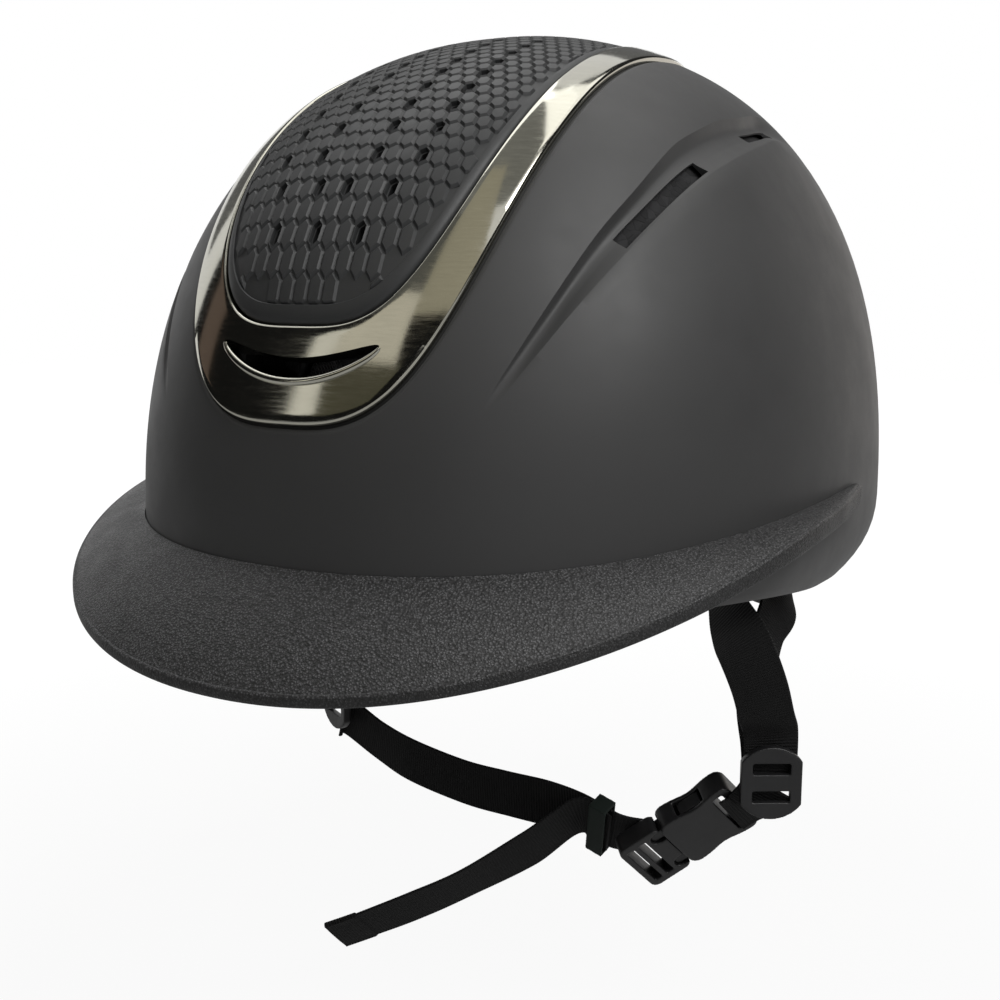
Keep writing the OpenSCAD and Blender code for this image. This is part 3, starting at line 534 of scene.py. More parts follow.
def make_finishes():
    c = bpy.context.scene.helmet_colours
    pitch = bpy.context.scene.helmet_sizes.rib_pitch / MM
    f = FINISH
    f["shell"] = moulded("shell_soft_black", tuple(c.shell), 0.52, grain=0.35, depth=0.012, spread=0.06,
                         cloud=60, specular=0.42, sheen=0.05)
    # The brim's grain in two tones, split by which way a face turns: the lighter copy on the upper faces, and a darker
    # copy that is painted shade below the ridge
    f["brim"] = grained("brim_grain", tint(tuple(c.brim), 1.25), 0.46, 0.66)
    f["brim_side"] = grained("brim_side_grain", tint(tuple(c.brim), 0.45), 0.46, 0.66)
    f["bezel"] = bright_metal("bezel_metal", tuple(c.bezel))
    f["panel"] = moulded("panel_black", tuple(c.panel), 0.5, grain=0.3, depth=0.012, spread=0.07, specular=0.42)
    # The gasket is a near-black ring sunk in the gap under the bezel's outer edge: painted shade that keeps the gap
    # dark
    f["gasket"] = moulded("gasket_painted_shade", (0.006, 0.006, 0.006), 0.7, depth=0.01)
    f["foam"] = beaded_foam("foam_black", (0.02, 0.02, 0.021))
    f["binding"] = moulded("binding_black", (0.014, 0.014, 0.014), 0.75, grain=0.5, depth=0.06, sheen=0.1)
    f["pad"] = knitted("pad_fabric", (0.022, 0.022, 0.023))
    f["webbing"] = woven("webbing_black", tuple(c.webbing), pitch)
    f["elastic"] = woven("keeper_elastic", (0.016, 0.022, 0.019), 0.8)
    f["buckle"] = moulded("buckle_black", (0.018, 0.018, 0.019), 0.38, grain=0.5, depth=0.02, spread=0.15, cloud=8)
    f["cradle"] = moulded("cradle_black", (0.022, 0.022, 0.023), 0.45, grain=0.45, depth=0.03, cloud=12)
    f["gear"] = moulded("gear_plastic", (0.35, 0.34, 0.31), 0.4, grain=0.4, depth=0.01, cloud=6)
    f["spring"] = plain_metal("spring_steel", (0.62, 0.61, 0.58), 0.3)
    f["dark_metal"] = plain_metal("dark_metal", (0.16, 0.16, 0.17), 0.4)


# Shell
# Ridges of the side channel as bearing and elevation: the upper, then the lower
UPPER_RIDGE = [(0, 8.5), (12, 11.5), (20.4, 14.9), (21.9, 17.4), (25.1, 22.6), (29.3, 29.0), (33.3, 34.4),
               (40, 41.3), (49, 48.8), (58, 53.2), (66.1, 56.0), (82, 58.9), (100.3, 60.0), (112, 58.5),
               (140, 50), (160, 43), (180, 38)]
LOWER_RIDGE = [(0, 4), (12, 9), (20.4, 14.5), (22.7, 17.0), (27.1, 22.3), (30.4, 26.2), (36.6, 32.6),
               (45.6, 40.1), (55.5, 46.1), (64, 49.6), (73.2, 52.3), (86, 54.8), (97.7, 55.8), (112, 53.5),
               (140, 44), (160, 36.5), (180, 31)]
# The two slots: bearing range, and the share of the channel's width they take at each end
SHELL_SLOTS = [((36.8, 55.0), (0.10, 0.62), (0.10, 0.50)), ((79.0, 99.0), (0.30, 0.62), (0.22, 0.55))]
CHANNEL_FADE = (21.0, 30.0, 96.0, 114.0)
# The channel's section: share of its width from the lower ridge, share of its depth
CHANNEL_FORM = [(0, 0), (0.06, 0.10), (0.2, 0.38), (0.4, 0.72), (0.6, 0.94), (0.74, 1.0), (0.84, 0.90), (0.9, 0.66),
                (0.95, 0.26), (1.0, 0)]
EDGE_ROWS, ABOVE_ROWS, CHANNEL_ROWS, BELOW_ROWS, JOIN_ROWS, RIM_ROWS = 5, 18, 18, 20, 6, 10
# The rows of the channel that follow the slots' edges
SLOT_PINS = (6, 13)
MEAN_RADIUS = 140


def ridge(points, az):
    """A ridge's elevation at a bearing, drawn as a smooth curve through its points"""
    x, y = np.array(points, dtype=float).T
    slope = np.gradient(y, x)
    a = np.clip(from_front(az), x[0], x[-1])
    i = np.clip(np.searchsorted(x, a) - 1, 0, len(x) - 2)
    h = x[i + 1] - x[i]
    t = (a - x[i]) / h
    return ((2 * t ** 3 - 3 * t ** 2 + 1) * y[i] + (t ** 3 - 2 * t ** 2 + t) * h * slope[i]
            + (3 * t ** 2 - 2 * t ** 3) * y[i + 1] + (t ** 3 - t ** 2) * h * slope[i + 1])


def join_z(az):
    u = np.clip(from_front(az) / BRIM_TURN, 0, 1)
    return 0.3 + 10.7 * (1 - np.cos(np.pi * u)) / 2


def shell_path(s, t):
    """Direction at share t of the way from the bezel's opening to the rim, on column s"""
    start = crown_dir(*frame_edge(s))
    end = unit(side(s, rim_z(s)))
    turn = np.arccos(np.clip((start * end).sum(-1), -1, 1))
    a, b = np.sin((1 - t) * turn) / np.sin(turn), np.sin(t * turn) / np.sin(turn)
    return unit(start * a[..., None] + end * b[..., None])


def crossing(s, height):
    """Share t at which each column's path falls to height(direction) = 0"""
    lo, hi = np.zeros_like(s), np.ones_like(s)
    for _ in range(32):
        mid = (lo + hi) / 2
        above = height(shell_path(s, mid)) > 0
        lo, hi = np.where(above, mid, lo), np.where(above, hi, mid)
    return (lo + hi) / 2


def channel_share(d):
    """0 on the lower ridge and 1 on the upper one"""
    az, el = angles(d)
    up, low = ridge(UPPER_RIDGE, az), ridge(LOWER_RIDGE, az)
    return (el - low) / np.maximum(up - low, 0.05)


def shell_sink(d):
    """How far the skin lies below the dome in the channels"""
    az, _ = angles(d)
    a = from_front(az)
    f0, f1, f2, f3 = CHANNEL_FADE
    fade = smooth((a - f0) / (f1 - f0)) * smooth((f3 - a) / (f3 - f2))
    v = np.clip(channel_share(d), 0, 1)
    form = np.interp(v, *np.transpose(CHANNEL_FORM))
    return bpy.context.scene.helmet_sizes.channel_depth / MM * fade * form


def slot_edges(a):
    """Lower and upper edge of the slots at a bearing, as shares of the channel's width"""
    bearings = [b for slot in SHELL_SLOTS for b in slot[0]]
    return [np.interp(a, bearings, [at[k] for slot in SHELL_SLOTS for at in slot[1:]]) for k in (0, 1)]


def build_shell():
    cols = bpy.context.scene.helmet_sizes.shell_columns
    s_all = np.arange(cols + 1) / cols * 360.0
    s_fold = np.clip(s_all, 0, 360)
    t_up = crossing(s_fold, lambda d: angles(d)[1] - ridge(UPPER_RIDGE, angles(d)[0]))
    t_low = crossing(s_fold, lambda d: angles(d)[1] - ridge(LOWER_RIDGE, angles(d)[0]))
    t_line = crossing(s_fold, lambda d: reach(d) * d[..., 2] - join_z(angles(d)[0]))
    turn = np.arccos(np.clip((shell_path(s_fold, np.zeros_like(s_fold))
                              * shell_path(s_fold, np.ones_like(s_fold))).sum(-1), -1, 1))
    # About one millimetre of each column's path, as a share of it
    mm = 1 / (turn * MEAN_RADIUS)
    edge = 1.6 * mm
    near_line = 1.1 * mm
    # Rows from the opening to the rim: start, end, how many, and how they crowd
    spans = [(0, edge, EDGE_ROWS, 1.5), (edge, t_up, ABOVE_ROWS, 1), (t_up, t_low, CHANNEL_ROWS, 1),
             (t_low, t_line - near_line, BELOW_ROWS, 1), (t_line - near_line, t_line + near_line, JOIN_ROWS, 1),
             (t_line + near_line, 1.0, RIM_ROWS, 0.8)]
    table = np.array([mix(a, b, (k / n) ** crowd) for a, b, n, crowd in spans for k in range(n)]
                     + [np.ones_like(t_line)])
    rows = len(table) - 1
    first = EDGE_ROWS + ABOVE_ROWS

    # Inside the channel the rows lean so that two of them follow the slots' edges
    marks = (0, *SLOT_PINS, CHANNEL_ROWS)
    for k in range(1, CHANNEL_ROWS):
        a = from_front(angles(shell_path(s_fold, table[first + k]))[0])
        low, high = slot_edges(a)
        i = sum(k >= pin for pin in SLOT_PINS)
        ends = [np.ones_like(a), high, low, np.zeros_like(a)]
        share = mix(ends[i], ends[i + 1], (k - marks[i]) / (marks[i + 1] - marks[i]))
        table[first + k] = mix(t_up, t_low, 1 - share)

    def place(u, v):
        i = np.rint(v * rows).astype(int)
        j = np.rint(u * cols).astype(int)
        d = shell_path(s_all[j], table[i, j])
        near = table[i, j] / mm[j]
        rim = (1 - table[i, j]) / mm[j]
        round_off = 0.7 * np.clip(1 - near / 1.3, 0, 1) ** 2 + 0.8 * np.clip(1 - rim / 1.4, 0, 1) ** 2
        return on_dome(d, -shell_sink(d) - round_off)

    obj = lay_grid("shell_skin", cols, rows, place)
    weld(obj)
    face_out(obj)

    # Open the slots between the pinned rows, by whole columns, so that the ends are straight
    share = channel_share(unit(face_values(obj, "center", 3)))
    half_way = table[first + sum(SLOT_PINS) // 2]
    column = from_front(angles(shell_path(s_fold, half_way))[0])
    a = np.resize((column[1:] + column[:-1]) / 2, len(share))
    low, high = slot_edges(a)
    inside = np.any([(a > a0) & (a < a1) for (a0, a1), _, _ in SHELL_SLOTS], axis=0)
    delete_faces(obj, inside & (share > low) & (share < high))

    # The wall: its inside follows the plain dome, so that it clears the foam
    outer = coords(obj)
    apply_modifier(obj, "SOLIDIFY", thickness=WALL * MM, offset=-1.0, use_rim=True)
    co = coords(obj)
    d = unit(outer)
    co[len(outer):] = on_dome(d, -WALL + 0.02) * MM
    lay(obj, co)
    settle(obj, "shell_skin", "helmet", FINISH["shell"], ["outer_shell"], angle=32)


# Brim
BRIM_STEPS, BRIM_CLOSE = 240, 0.985


def brim_rows(u):
    """Half section of the brim at share u from the front: places out from the axis and up"""
    az = u * BRIM_TURN
    join = float(join_z(az))
    low = -29 + 128.3 * u ** 2 - 170 * u ** 4 + 75.5 * u ** 6
    high = min(low + 3.5 + 5 * u * u, join - 0.8)
    root = min(-10 + 13.5 * u ** 1.5, join - 4)
    r_join, r_root, r_mid = (float(plan_r(az, z)) for z in (join, root, (join + root) / 2))
    tip = r_join + 2.6 + 24.4 * (1 - u * u) ** 1.4
    upper = np.array([[r_join + SEAT, join - 0.5], [mix(r_join, tip, 0.55), mix(join, high, 0.46)], [tip - 0.9, high]])
    under = np.array([[tip - 1.4, low], [mix(r_root, tip, 0.5), mix(root, low, 0.42)], [r_root + SEAT, root]])
    t = np.linspace(0, 1, 15)[:, None]

    def bow(p):
        return (1 - t) ** 2 * p[0] + 2 * t * (1 - t) * (2 * p[1] - (p[0] + p[2]) / 2) + t ** 2 * p[2]

    a = np.radians(np.linspace(80, -80, 9))
    roll = np.stack([tip - 0.9 + 0.9 * powered(np.cos(a), 0.7),
                     (high + low) / 2 + (high - low) / 2 * powered(np.sin(a), 0.55)], 1)
    wall = np.array([[r_mid + SEAT, (join + root) / 2], [r_join + SEAT, join - 1.2]])
    return np.concatenate([bow(upper), roll, bow(under), wall])


def build_brim():
    rings = []
    for i in range(BRIM_STEPS + 1):
        k = 2 * i / BRIM_STEPS - 1
        u = min(abs(k), 1.0)
        az = math.radians(BRIM_TURN * k)
        p = brim_rows(u)
        if u > BRIM_CLOSE:
            mid, left = p.mean(0), (1 - u) / (1 - BRIM_CLOSE)
            p = mid + (p - mid) * (0.45 + 0.55 * math.sqrt(max(0.0, 1 - (1 - left) ** 2)))
        rings.append(np.stack([p[:, 0] * math.sin(az), -p[:, 0] * math.cos(az), p[:, 1]], 1))
    obj = tube_of("brim_skin", np.array(rings))
    settle(obj, "brim_skin", "helmet", [FINISH["brim"], FINISH["brim_side"]], ["visor_brim"], angle=50)
    # Below the ridge the rolled edge and the underside take the darker copy of the grain: painted shade on the faces
    # that turn down and out
    for face in obj.data.polygons:
        out = Vector((face.center.x, face.center.y, 0)).normalized()
        if face.normal.z < 0.25 and face.normal.dot(out) > 0.2 or face.normal.z < -0.5:
            face.material_index = 1


# Bezel and gasket, a near-black ring that is painted shade in the gap under the bezel's edge
BEZEL_INNER = [(0.0, -3.1), (0.0, 0.35), (0.15, 0.75), (0.45, 1.0), (0.9, 1.12)]
BEZEL_OUTER = [(0.9, 1.1), (0.45, 0.9), (0.15, 0.5), (0.0, 0.1), (0.0, -3.1)]
GASKET = [(0, -0.9), (0, -2.6), (1, -2.6), (1, -0.9)]


def ring_between(name, a, b, section):
    """A closed ring over the crown: the section gives shares of the way from edge a to b, and heights"""
    rings = np.stack([on_crown(mix(a[0], b[0], k), mix(a[1], b[1], k), g) for k, g in section], axis=1)
    return tube_of(name, rings, closed_path=True)


def build_bezel():
    s = np.arange(360.0)
    a, b = panel_edge(s), frame_edge(s, 0.8)
    width = np.linalg.norm(on_crown(*a, 0) - on_crown(*b, 0), axis=-1)
    ring = [(at / width, g) for at, g in BEZEL_INNER]
    for k in np.linspace(0.1, 0.9, 15):
        ring.append((mix(0.9 / width, 1 - 0.9 / width, k), 1.12 + 0.12 * math.sin(math.pi * k)))
    ring += [(1 - at / width, g) for at, g in BEZEL_OUTER]
    obj = ring_between("bezel", a, b, ring)

    # The crescent intake
    c = np.sin(np.linspace(-0.5, 0.5, 41) * math.pi)
    th = 19.55 + 2.75 * c ** 2
    w = 1.4 + 25.5 * c
    half = (0.15 + 2.95 * np.sqrt(1 - np.abs(c) ** 2.6)) / PANEL_ARC
    loops = [np.concatenate([on_crown(th - half, w, g), on_crown(th + half, w, g)[::-1]]) for g in (-8.0, 6.0)]
    cut(obj, tube_of("intake_tool", np.array(loops)))

    # Its rolled lower lip, thin at the tips
    edge = on_crown(th - half, w, 1.0)
    normal = unit(edge)
    out = np.cross(unit(np.gradient(edge, axis=0)), normal)
    turn = np.linspace(0, 2 * math.pi, 14, endpoint=False)[:, None]
    thick = (0.55 + 0.65 * np.sqrt(1 - np.abs(c) ** 4))[:, None, None]
    lip = edge[:, None] + thick * (np.cos(turn) * out[:, None] + np.sin(turn) * normal[:, None])
    obj = join("bezel", [obj, tube_of("lip", lip)])
    settle(obj, "bezel", "helmet", FINISH["bezel"], ["vent_trim"], angle=30)

    # A near-black ring sunk under the bezel's outer edge: painted shade in the gap between bezel and shell
    gasket = ring_between("bezel_gap_painted_shade", frame_edge(s, -0.3), frame_edge(s, 1.2), GASKET)
    settle(gasket, "bezel_gap_painted_shade", "helmet", FINISH["gasket"])


# Vent panel
# Where every second row of cells lies over the crown, in degrees: the cells are longest at the front
CELL_ROWS = [14.6, 21.2, 27.5, 33.5, 39, 43.3, 47.5, 51.3, 55, 58.6, 62, 65.3, 68.6, 71.8]
REAR_STEP = 1.58
FIRST_ROW, LAST_ROW, MOST_COLUMNS = -6, 53, 12
LAST_HOLE_ROW = 20
PANEL_SEAT, PANEL_RISE = -3.1, 2.6
# Share of the half width, share of the panel's full rise
PANEL_FORM = [(0, 1), (0.2, 0.99), (0.4, 0.963), (0.56, 0.92), (0.72, 0.852), (0.84, 0.76), (0.93, 0.63), (0.97, 0.47),
              (1, 0.25)]
# Section of the smooth band: share of the way in, whether it follows the rise, height
PANEL_BAND = [(0.0, False, PANEL_SEAT), (0.0, True, -1.2), (0.06, True, -0.5), (0.16, True, -0.15), (0.3, True, 0.0),
              (0.55, True, 0.06), (0.8, True, 0.05), (0.95, True, 0.0), (1.0, True, -0.25), (1.0, True, -1.0),
              (0.5, False, -2.6)]


def cell_row(r):
    """Degrees over the crown of a row of cells; row 0 is the first with holes"""
    known = np.arange(len(CELL_ROWS)) * 2.0 + FIRST_ROW
    r = np.asarray(r, dtype=float)
    return np.where(r > known[-1], CELL_ROWS[-1] + (r - known[-1]) * REAR_STEP, np.interp(r, known, CELL_ROWS))


def panel_rise(th, w):
    """How far the panel's skin stands above the dome at a place on it"""
    mid, front, back = PANEL_PLAN[:3]
    s = np.arccos(np.clip((mid - th) / np.where(th < mid, front, back), -1, 1))
    half = panel_edge(np.degrees(s), 0.4)[1]
    share = np.clip(np.abs(w) / np.maximum(half, 0.01), 0, 1)
    form = np.interp(share, *np.transpose(PANEL_FORM))
    low_crown = 1 - 0.92 * smooth((th - 34.0) / 36.0)
    return PANEL_RISE * form * (0.2 + 0.8 * smooth(1.6 * np.sin(s))) * low_crown


def field_edge(s):
    """Edge of the field of cells, inside a band that is wider at the front"""
    th, w = panel_edge(s, 3.0)
    return np.where(th < PANEL_PLAN[0], th + 0.9, th), w


def doubled_area(p):
    return np.sum(p[:, 0] * np.roll(p[:, 1], -1) - p[:, 1] * np.roll(p[:, 0], -1))


def clip_convex(poly, fence):
    """The part of a polygon inside a convex fence that runs counter-clockwise"""
    for a, b in zip(fence, np.roll(fence, -1, 0)):
        if len(poly) == 0:
            break
        e = b - a
        keep = []
        for p, q in zip(poly, poly[1:] + poly[:1]):
            dp = e[0] * (p[1] - a[1]) - e[1] * (p[0] - a[0])
            dq = e[0] * (q[1] - a[1]) - e[1] * (q[0] - a[0])
            if dp >= 0:
                keep.append(p)
            if (dp >= 0) != (dq >= 0):
                t = dp / (dp - dq)
                keep.append((p[0] + (q[0] - p[0]) * t, p[1] + (q[1] - p[1]) * t))
        poly = keep
    return poly


def shrink(poly, by):
    """A convex polygon moved in by a distance, or None if nothing is left"""
    if poly is None:
        return None
    p = np.array(poly)
    e = np.roll(p, -1, 0) - p
    p = p[np.linalg.norm(e, axis=1) > 0.05]
    if len(p) < 3:
        return None
    e = np.roll(p, -1, 0) - p
    n = np.stack([-e[:, 1], e[:, 0]], 1) / np.linalg.norm(e, axis=1)[:, None]
    made = []
    for i in range(len(p)):
        n0, n1 = n[i - 1], n[i]
        k = 1 + n0 @ n1
        if k < 0.2:
            return None
        made.append(p[i] + (n0 + n1) / k * by)
    made = np.array(made)
    if doubled_area(made) < 1.2 or np.any(((np.roll(made, -1, 0) - made) * e).sum(1) <= 0):
        return None
    return [tuple(q) for q in made]


def holed(row, x, pitch):
    """Whether the cell at x on a row has a hole through it"""
    at = abs(round(x / pitch))
    return row % 2 == 0 and 0 <= row <= LAST_HOLE_ROW and at in {0: (0, 3), 2: (1, 4)}.get(row, (2, 5))


def build_panel():
    pitch = bpy.context.scene.helmet_sizes.cell_pitch / MM
    groove = bpy.context.scene.helmet_sizes.cell_groove / MM
    th, w = field_edge(np.arange(0, 360, 4.0))
    fence = np.stack([w, th * PANEL_ARC], 1)[::-1]
    if doubled_area(fence) < 0:
        fence = fence[::-1]
    verts, faces = [], []

    def add(poly, drop):
        first = len(verts)
        verts.extend((x, y, drop) for x, y in poly)
        return list(range(first, first + len(poly)))

    def band(a, b):
        n = len(a)
        faces.extend((a[i], a[(i + 1) % n], b[(i + 1) % n], b[i]) for i in range(n))

    def rings_in(poly, *steps):
        """Add each inset of a cell in turn, as far as it keeps all its corners"""
        last, whole = add(poly, -groove), True
        for insets in steps:
            made = [(shrink(source, by), drop) for source, by, drop in insets]
            whole = all(inset is not None and len(inset) == len(poly) for inset, _ in made)
            if not whole:
                break
            for inset, drop in made:
                ring = add(inset, drop)
                band(last, ring)
                last = ring
        return last, whole

    corners = [(pitch / math.sqrt(3) * math.sin(math.radians(60 * k)), 2 / 3 * math.cos(math.radians(60 * k)))
               for k in range(6)][::-1]
    cells = [(row, (col + 0.5 * (row % 2)) * pitch) for row in range(FIRST_ROW, LAST_ROW + 1)
             for col in range(-MOST_COLUMNS, MOST_COLUMNS + 1)]
    for row, cx in cells:
        full = [(cx + x, float(cell_row(row + y)) * PANEL_ARC) for x, y in corners]
        poly = clip_convex(full, fence)
        poly = [q for i, q in enumerate(poly) if math.dist(q, poly[i - 1]) > 0.35]
        if len(poly) < 3:
            continue
        steps = [[(poly, 0.1, -groove)], [(poly, 0.4, -0.5 * groove), (poly, 0.72, 0.0)]]
        hole = holed(row, cx, pitch) and len(poly) == 6
        if hole:
            steps.append([(full, 0.78, -0.12), (full, 0.84, -1.5), (full, 1.1, -1.6), (full, 1.14, -4.6)])
        else:
            steps.append([(shrink(poly, 0.72), 0.5, 0.02)])
        last, whole = rings_in(poly, *steps)
        if not (hole and whole):
            faces.append(tuple(last))

    me = bpy.data.meshes.new("vent_panel_cells")
    flat = np.array(verts)
    th, w = flat[:, 1] / PANEL_ARC, flat[:, 0]
    height = np.maximum(panel_rise(th, w) + flat[:, 2], PANEL_SEAT + 0.05)
    me.from_pydata((on_crown(th, w, height) * MM).tolist(), [], faces)
    cells_obj = bpy.data.objects.new("vent_panel_cells", me)
    bpy.context.collection.objects.link(cells_obj)
    weld(cells_obj, 4e-5)
    face_out(cells_obj)

    # The smooth band round the field, down to the seat
    s = np.arange(240) * 1.5
    (o_th, o_w), (i_th, i_w) = panel_edge(s, 0.4), field_edge(s)
    rows = []
    for k, follows, g in PANEL_BAND:
        th, w = mix(o_th, i_th, k), mix(o_w, i_w, k)
        rows.append(on_crown(th, w, panel_rise(th, w) + g if follows else g))
    band_obj = tube_of("vent_panel_band", np.stack(rows, axis=1), closed_path=True)
    obj = join("vent_panel", [cells_obj, band_obj])
    settle(obj, "vent_panel", "helmet", FINISH["panel"], ["hex_vent_panel"], angle=24)


# Foam liner and binding
FOAM_UP, BINDING_T = 2.0, 1.9
VENT_ROWS, VENT_SIDE, VENT_R = (48, 66, 84), 17, 7.0
DUCT_SIZE, DUCT_AT = (0.040, 0.060, 0.008), (0, -0.130, 0.051)


def foam_skin(az, t, g, low):
    """Places on the foam at share t of the way from the rim to the crown"""
    foot = unit(side(az, rim_z(az) + FOAM_UP, g, low))
    d = heading(az, mix(angles(foot)[1], 90, t))
    return d * reach(d, g, low)[..., None]


def peg(d, r, start, end):
    """A round tool that stands square to the dome"""
    deselect()
    bpy.ops.mesh.primitive_cylinder_add(vertices=24, radius=r * MM, depth=(end - start) * MM)
    obj = bpy.context.object
    way = Vector(d.tolist())
    obj.rotation_euler = way.to_track_quat("Z", "Y").to_euler()
    obj.location = way * (float(reach(d)) + (start + end) / 2) * MM
    return obj


def build_foam():
    az = np.arange(120) * 3.0
    rows = [foam_skin(az, 1 - k / 24, FOAM_G - 0.5, TUCK) for k in range(25)]
    inside = [foam_skin(az, k / 30, CAVITY_G, UPRIGHT) for k in range(31)]
    rows += [mix(rows[-1], inside[0], k) for k in (0.04, 0.35, 0.65, 0.93)] + inside
    obj = tube_of("foam_liner", np.array(rows), caps=False)
    tools = [peg(crown_dir(th, w), VENT_R, CAVITY_G - 8, 4) for th in VENT_ROWS for w in (-VENT_SIDE, VENT_SIDE)]
    bpy.ops.mesh.primitive_cube_add(size=1)
    duct = bpy.context.object
    duct.scale, duct.location = DUCT_SIZE, DUCT_AT
    for tool in (*tools, duct):
        cut(obj, tool)
    settle(obj, "foam_liner", "helmet", FINISH["foam"], ["eps_liner"], angle=40)

    az = np.arange(180) * 2.0
    z = rim_z(az) + FOAM_UP - BINDING_T / 2
    inner, outer = side(az, z, CAVITY_G, UPRIGHT, 0.3), side(az, z, FOAM_G - 0.5)
    mid, half = (inner + outer) / 2, (outer - inner) / 2
    up = np.array([0, 0, BINDING_T / 2])
    rings = np.stack([mid + half * powered(math.cos(k), 0.35) + up * powered(math.sin(k), 0.5)
                      for k in np.radians(np.arange(0, 360, 30))], axis=1)
    piping = tube_of("foam_binding", rings, closed_path=True)
    settle(piping, "foam_binding", "helmet", FINISH["binding"], ["liner_edge_trim"], angle=60)


# Pads
WALL_PAD_T, NAPE_Y = 7.0, 86.49
# The crown cushion's section: share of its size, share of its height
CUSHION_RISE = [(0.02, 0), (0.4, 0), (0.8, 0), (0.96, 0.2), (0.99, 0.5), (0.94, 0.8), (0.7, 1), (0.35, 1), (0.02, 1)]


def puffed(obj, cap, voxel=0.0045):
    """Swell a sewn pad by a short cloth run, hold every point within cap of where it was, and round it"""
    apply_modifier(obj, "REMESH", mode="VOXEL", voxel_size=voxel)
    start = coords(obj).copy()
    pick(obj)
    mod = obj.modifiers.new("Cloth", "CLOTH")
    mod.settings.use_pressure = True
    mod.settings.uniform_pressure_force = 4.0
    mod.settings.effector_weights.gravity = 0
    mod.settings.quality = 4
    mod.point_cache.frame_start, mod.point_cache.frame_end = 1, 20
    for number in range(1, 21):
        bpy.context.scene.frame_set(number)
    bpy.ops.object.modifier_apply(modifier=mod.name)
    bpy.context.scene.frame_set(1)
    moved = coords(obj) - start
    far = np.linalg.norm(moved, axis=1, keepdims=True)
    lay(obj, start + moved * np.minimum(1.0, cap * MM / np.maximum(far, 1e-9)))
    apply_modifier(obj, "SUBSURF", levels=1, render_levels=1)
    return coords(obj) / MM


def stitch(off, half):
    """Depth of a seam, 0 to 1, at a distance from its line"""
    return np.clip(1 - off / half, 0, 1) ** 0.6


def pad_ring():
    a = np.radians(np.arange(24) * 15.0)
    return powered(np.cos(a), 0.7), powered(np.sin(a), 0.7)


def wall_pad(name, az0, az1, el0, el1, seams):
    up, inn = pad_ring()
    rings = []
    for s in np.linspace(-0.98, 0.98, 41):
        size = max(0.16, (1 - abs(s) ** 4) ** 0.5)
        d = heading(mix(az0, az1, (s + 1) / 2), (el0 + el1) / 2 + (el1 - el0) / 2 * size * up * 0.97)
        g = CAVITY_G - 0.95 - np.where(inn > 0, (WALL_PAD_T - 1.2) * inn * (0.3 + 0.7 * size), 0.3 * -inn)
        rings.append(d * reach(d, g, UPRIGHT)[:, None])
    obj = tube_of(name, np.array(rings))
    co = puffed(obj, 1.6)
    d = unit(co)
    az = angles(d)[0]
    depth = np.max([stitch(np.abs(az - at), 2.2 / 1.5) for at in seams], axis=0)
    inside = reach(d, CAVITY_G - 1.8, UPRIGHT) > np.linalg.norm(co, axis=1)
    lay(obj, (co + d * (depth * 2.0 * inside)[:, None]) * MM)
    return obj


def crown_cushion():
    top = CROWN + CAVITY_G
    a = np.radians(np.arange(72) * 5.0)
    rings = []
    for k, up in CUSHION_RISE:
        v = unit(stack(38.0 * k * np.sin(a), -54.0 * k * np.cos(a), top))
        rings.append(v * reach(v, CAVITY_G - 1.5 - up * 5.6, UPRIGHT)[:, None])
    obj = tube_of("crown_cushion", np.array(rings))
    co = puffed(obj, 1.4)
    # Quilting: seams 18 mm apart both ways across its lower side
    lines = np.max([stitch(np.abs(((co[:, 0] * sign + co[:, 1]) / math.sqrt(2) + 9) % 18 - 9), 1.5)
                    for sign in (1, -1)], axis=0)
    co[:, 2] += lines * 1.8 * (co[:, 2] < top - 4.5)
    lay(obj, co * MM)
    return obj


def nape_cushion():
    up, inn = pad_ring()
    rings = []
    for s in np.linspace(-0.98, 0.98, 33):
        size = max(0.2, (1 - abs(s) ** 4) ** 0.5)
        y = NAPE_Y - np.where(inn > 0, 4.6 * inn * (0.4 + 0.6 * size), 0.2 * inn)
        rings.append(stack(s * 36.0, y, -46 + up * size * 10.8))
    obj = tube_of("nape_cushion", np.array(rings))
    co = puffed(obj, 0.9, voxel=0.003)
    co[:, 1] += stitch(np.abs(np.abs(co[:, 0]) - 12), 1.6) * 1.5 * (co[:, 1] < 84)
    lay(obj, co * MM)
    return obj


def build_pads():
    made = [(wall_pad("brow_cushion", -48, 48, -3, 12, (-32, -16, 0, 16, 32)), "brow_pad"),
            (wall_pad("left_cushion", 62, 112, 2, 30, (78, 95)), "left_side_pad"),
            (wall_pad("right_cushion", -112, -62, 2, 30, (-78, -95)), "right_side_pad"),
            (crown_cushion(), "crown_pad")]
    for obj, source in made:
        settle(obj, obj.name, "helmet", FINISH["pad"], [source], angle=0)
    nape = nape_cushion()
    settle(nape, "nape_cushion", "cradle", FINISH["pad"], ["nape_pad"], angle=0)


# Webbing
BUCKLE_AT = np.array([57.5, -8.0, -122.5])
BUCKLE_X = unit([-0.73, -0.31, -0.60])
BUCKLE_Z = unit(np.cross(BUCKLE_X, [0.294, 0.654, -0.696]))
BUCKLE_Y = np.cross(BUCKLE_Z, BUCKLE_X)
KEEPER_AT = np.array([32.0, -14.6, -120.6])
KEEPER_T = unit([0.96, -0.1, -0.27])
KEEPER_N = unit(np.cross(KEEPER_T, [0.1, 0.3, -0.95]))
KEEPER_U = np.cross(KEEPER_N, KEEPER_T)
DIVIDER_AT = np.array([91.97, -6.0, -95.0])
DIVIDER_TURN = math.radians(60)
DIVIDER_OUT = np.array([math.cos(DIVIDER_TURN), -math.sin(DIVIDER_TURN), 0])
DIVIDER_SIDE = np.array([math.sin(DIVIDER_TURN), math.cos(DIVIDER_TURN), 0])
SOCKET_L, BUCKLE_W, BUCKLE_T, PLUG_L = 29.0, 26.0, 9.0, 17.0
LAYER = 1.3
UP = np.array([0, 0, 1.0])
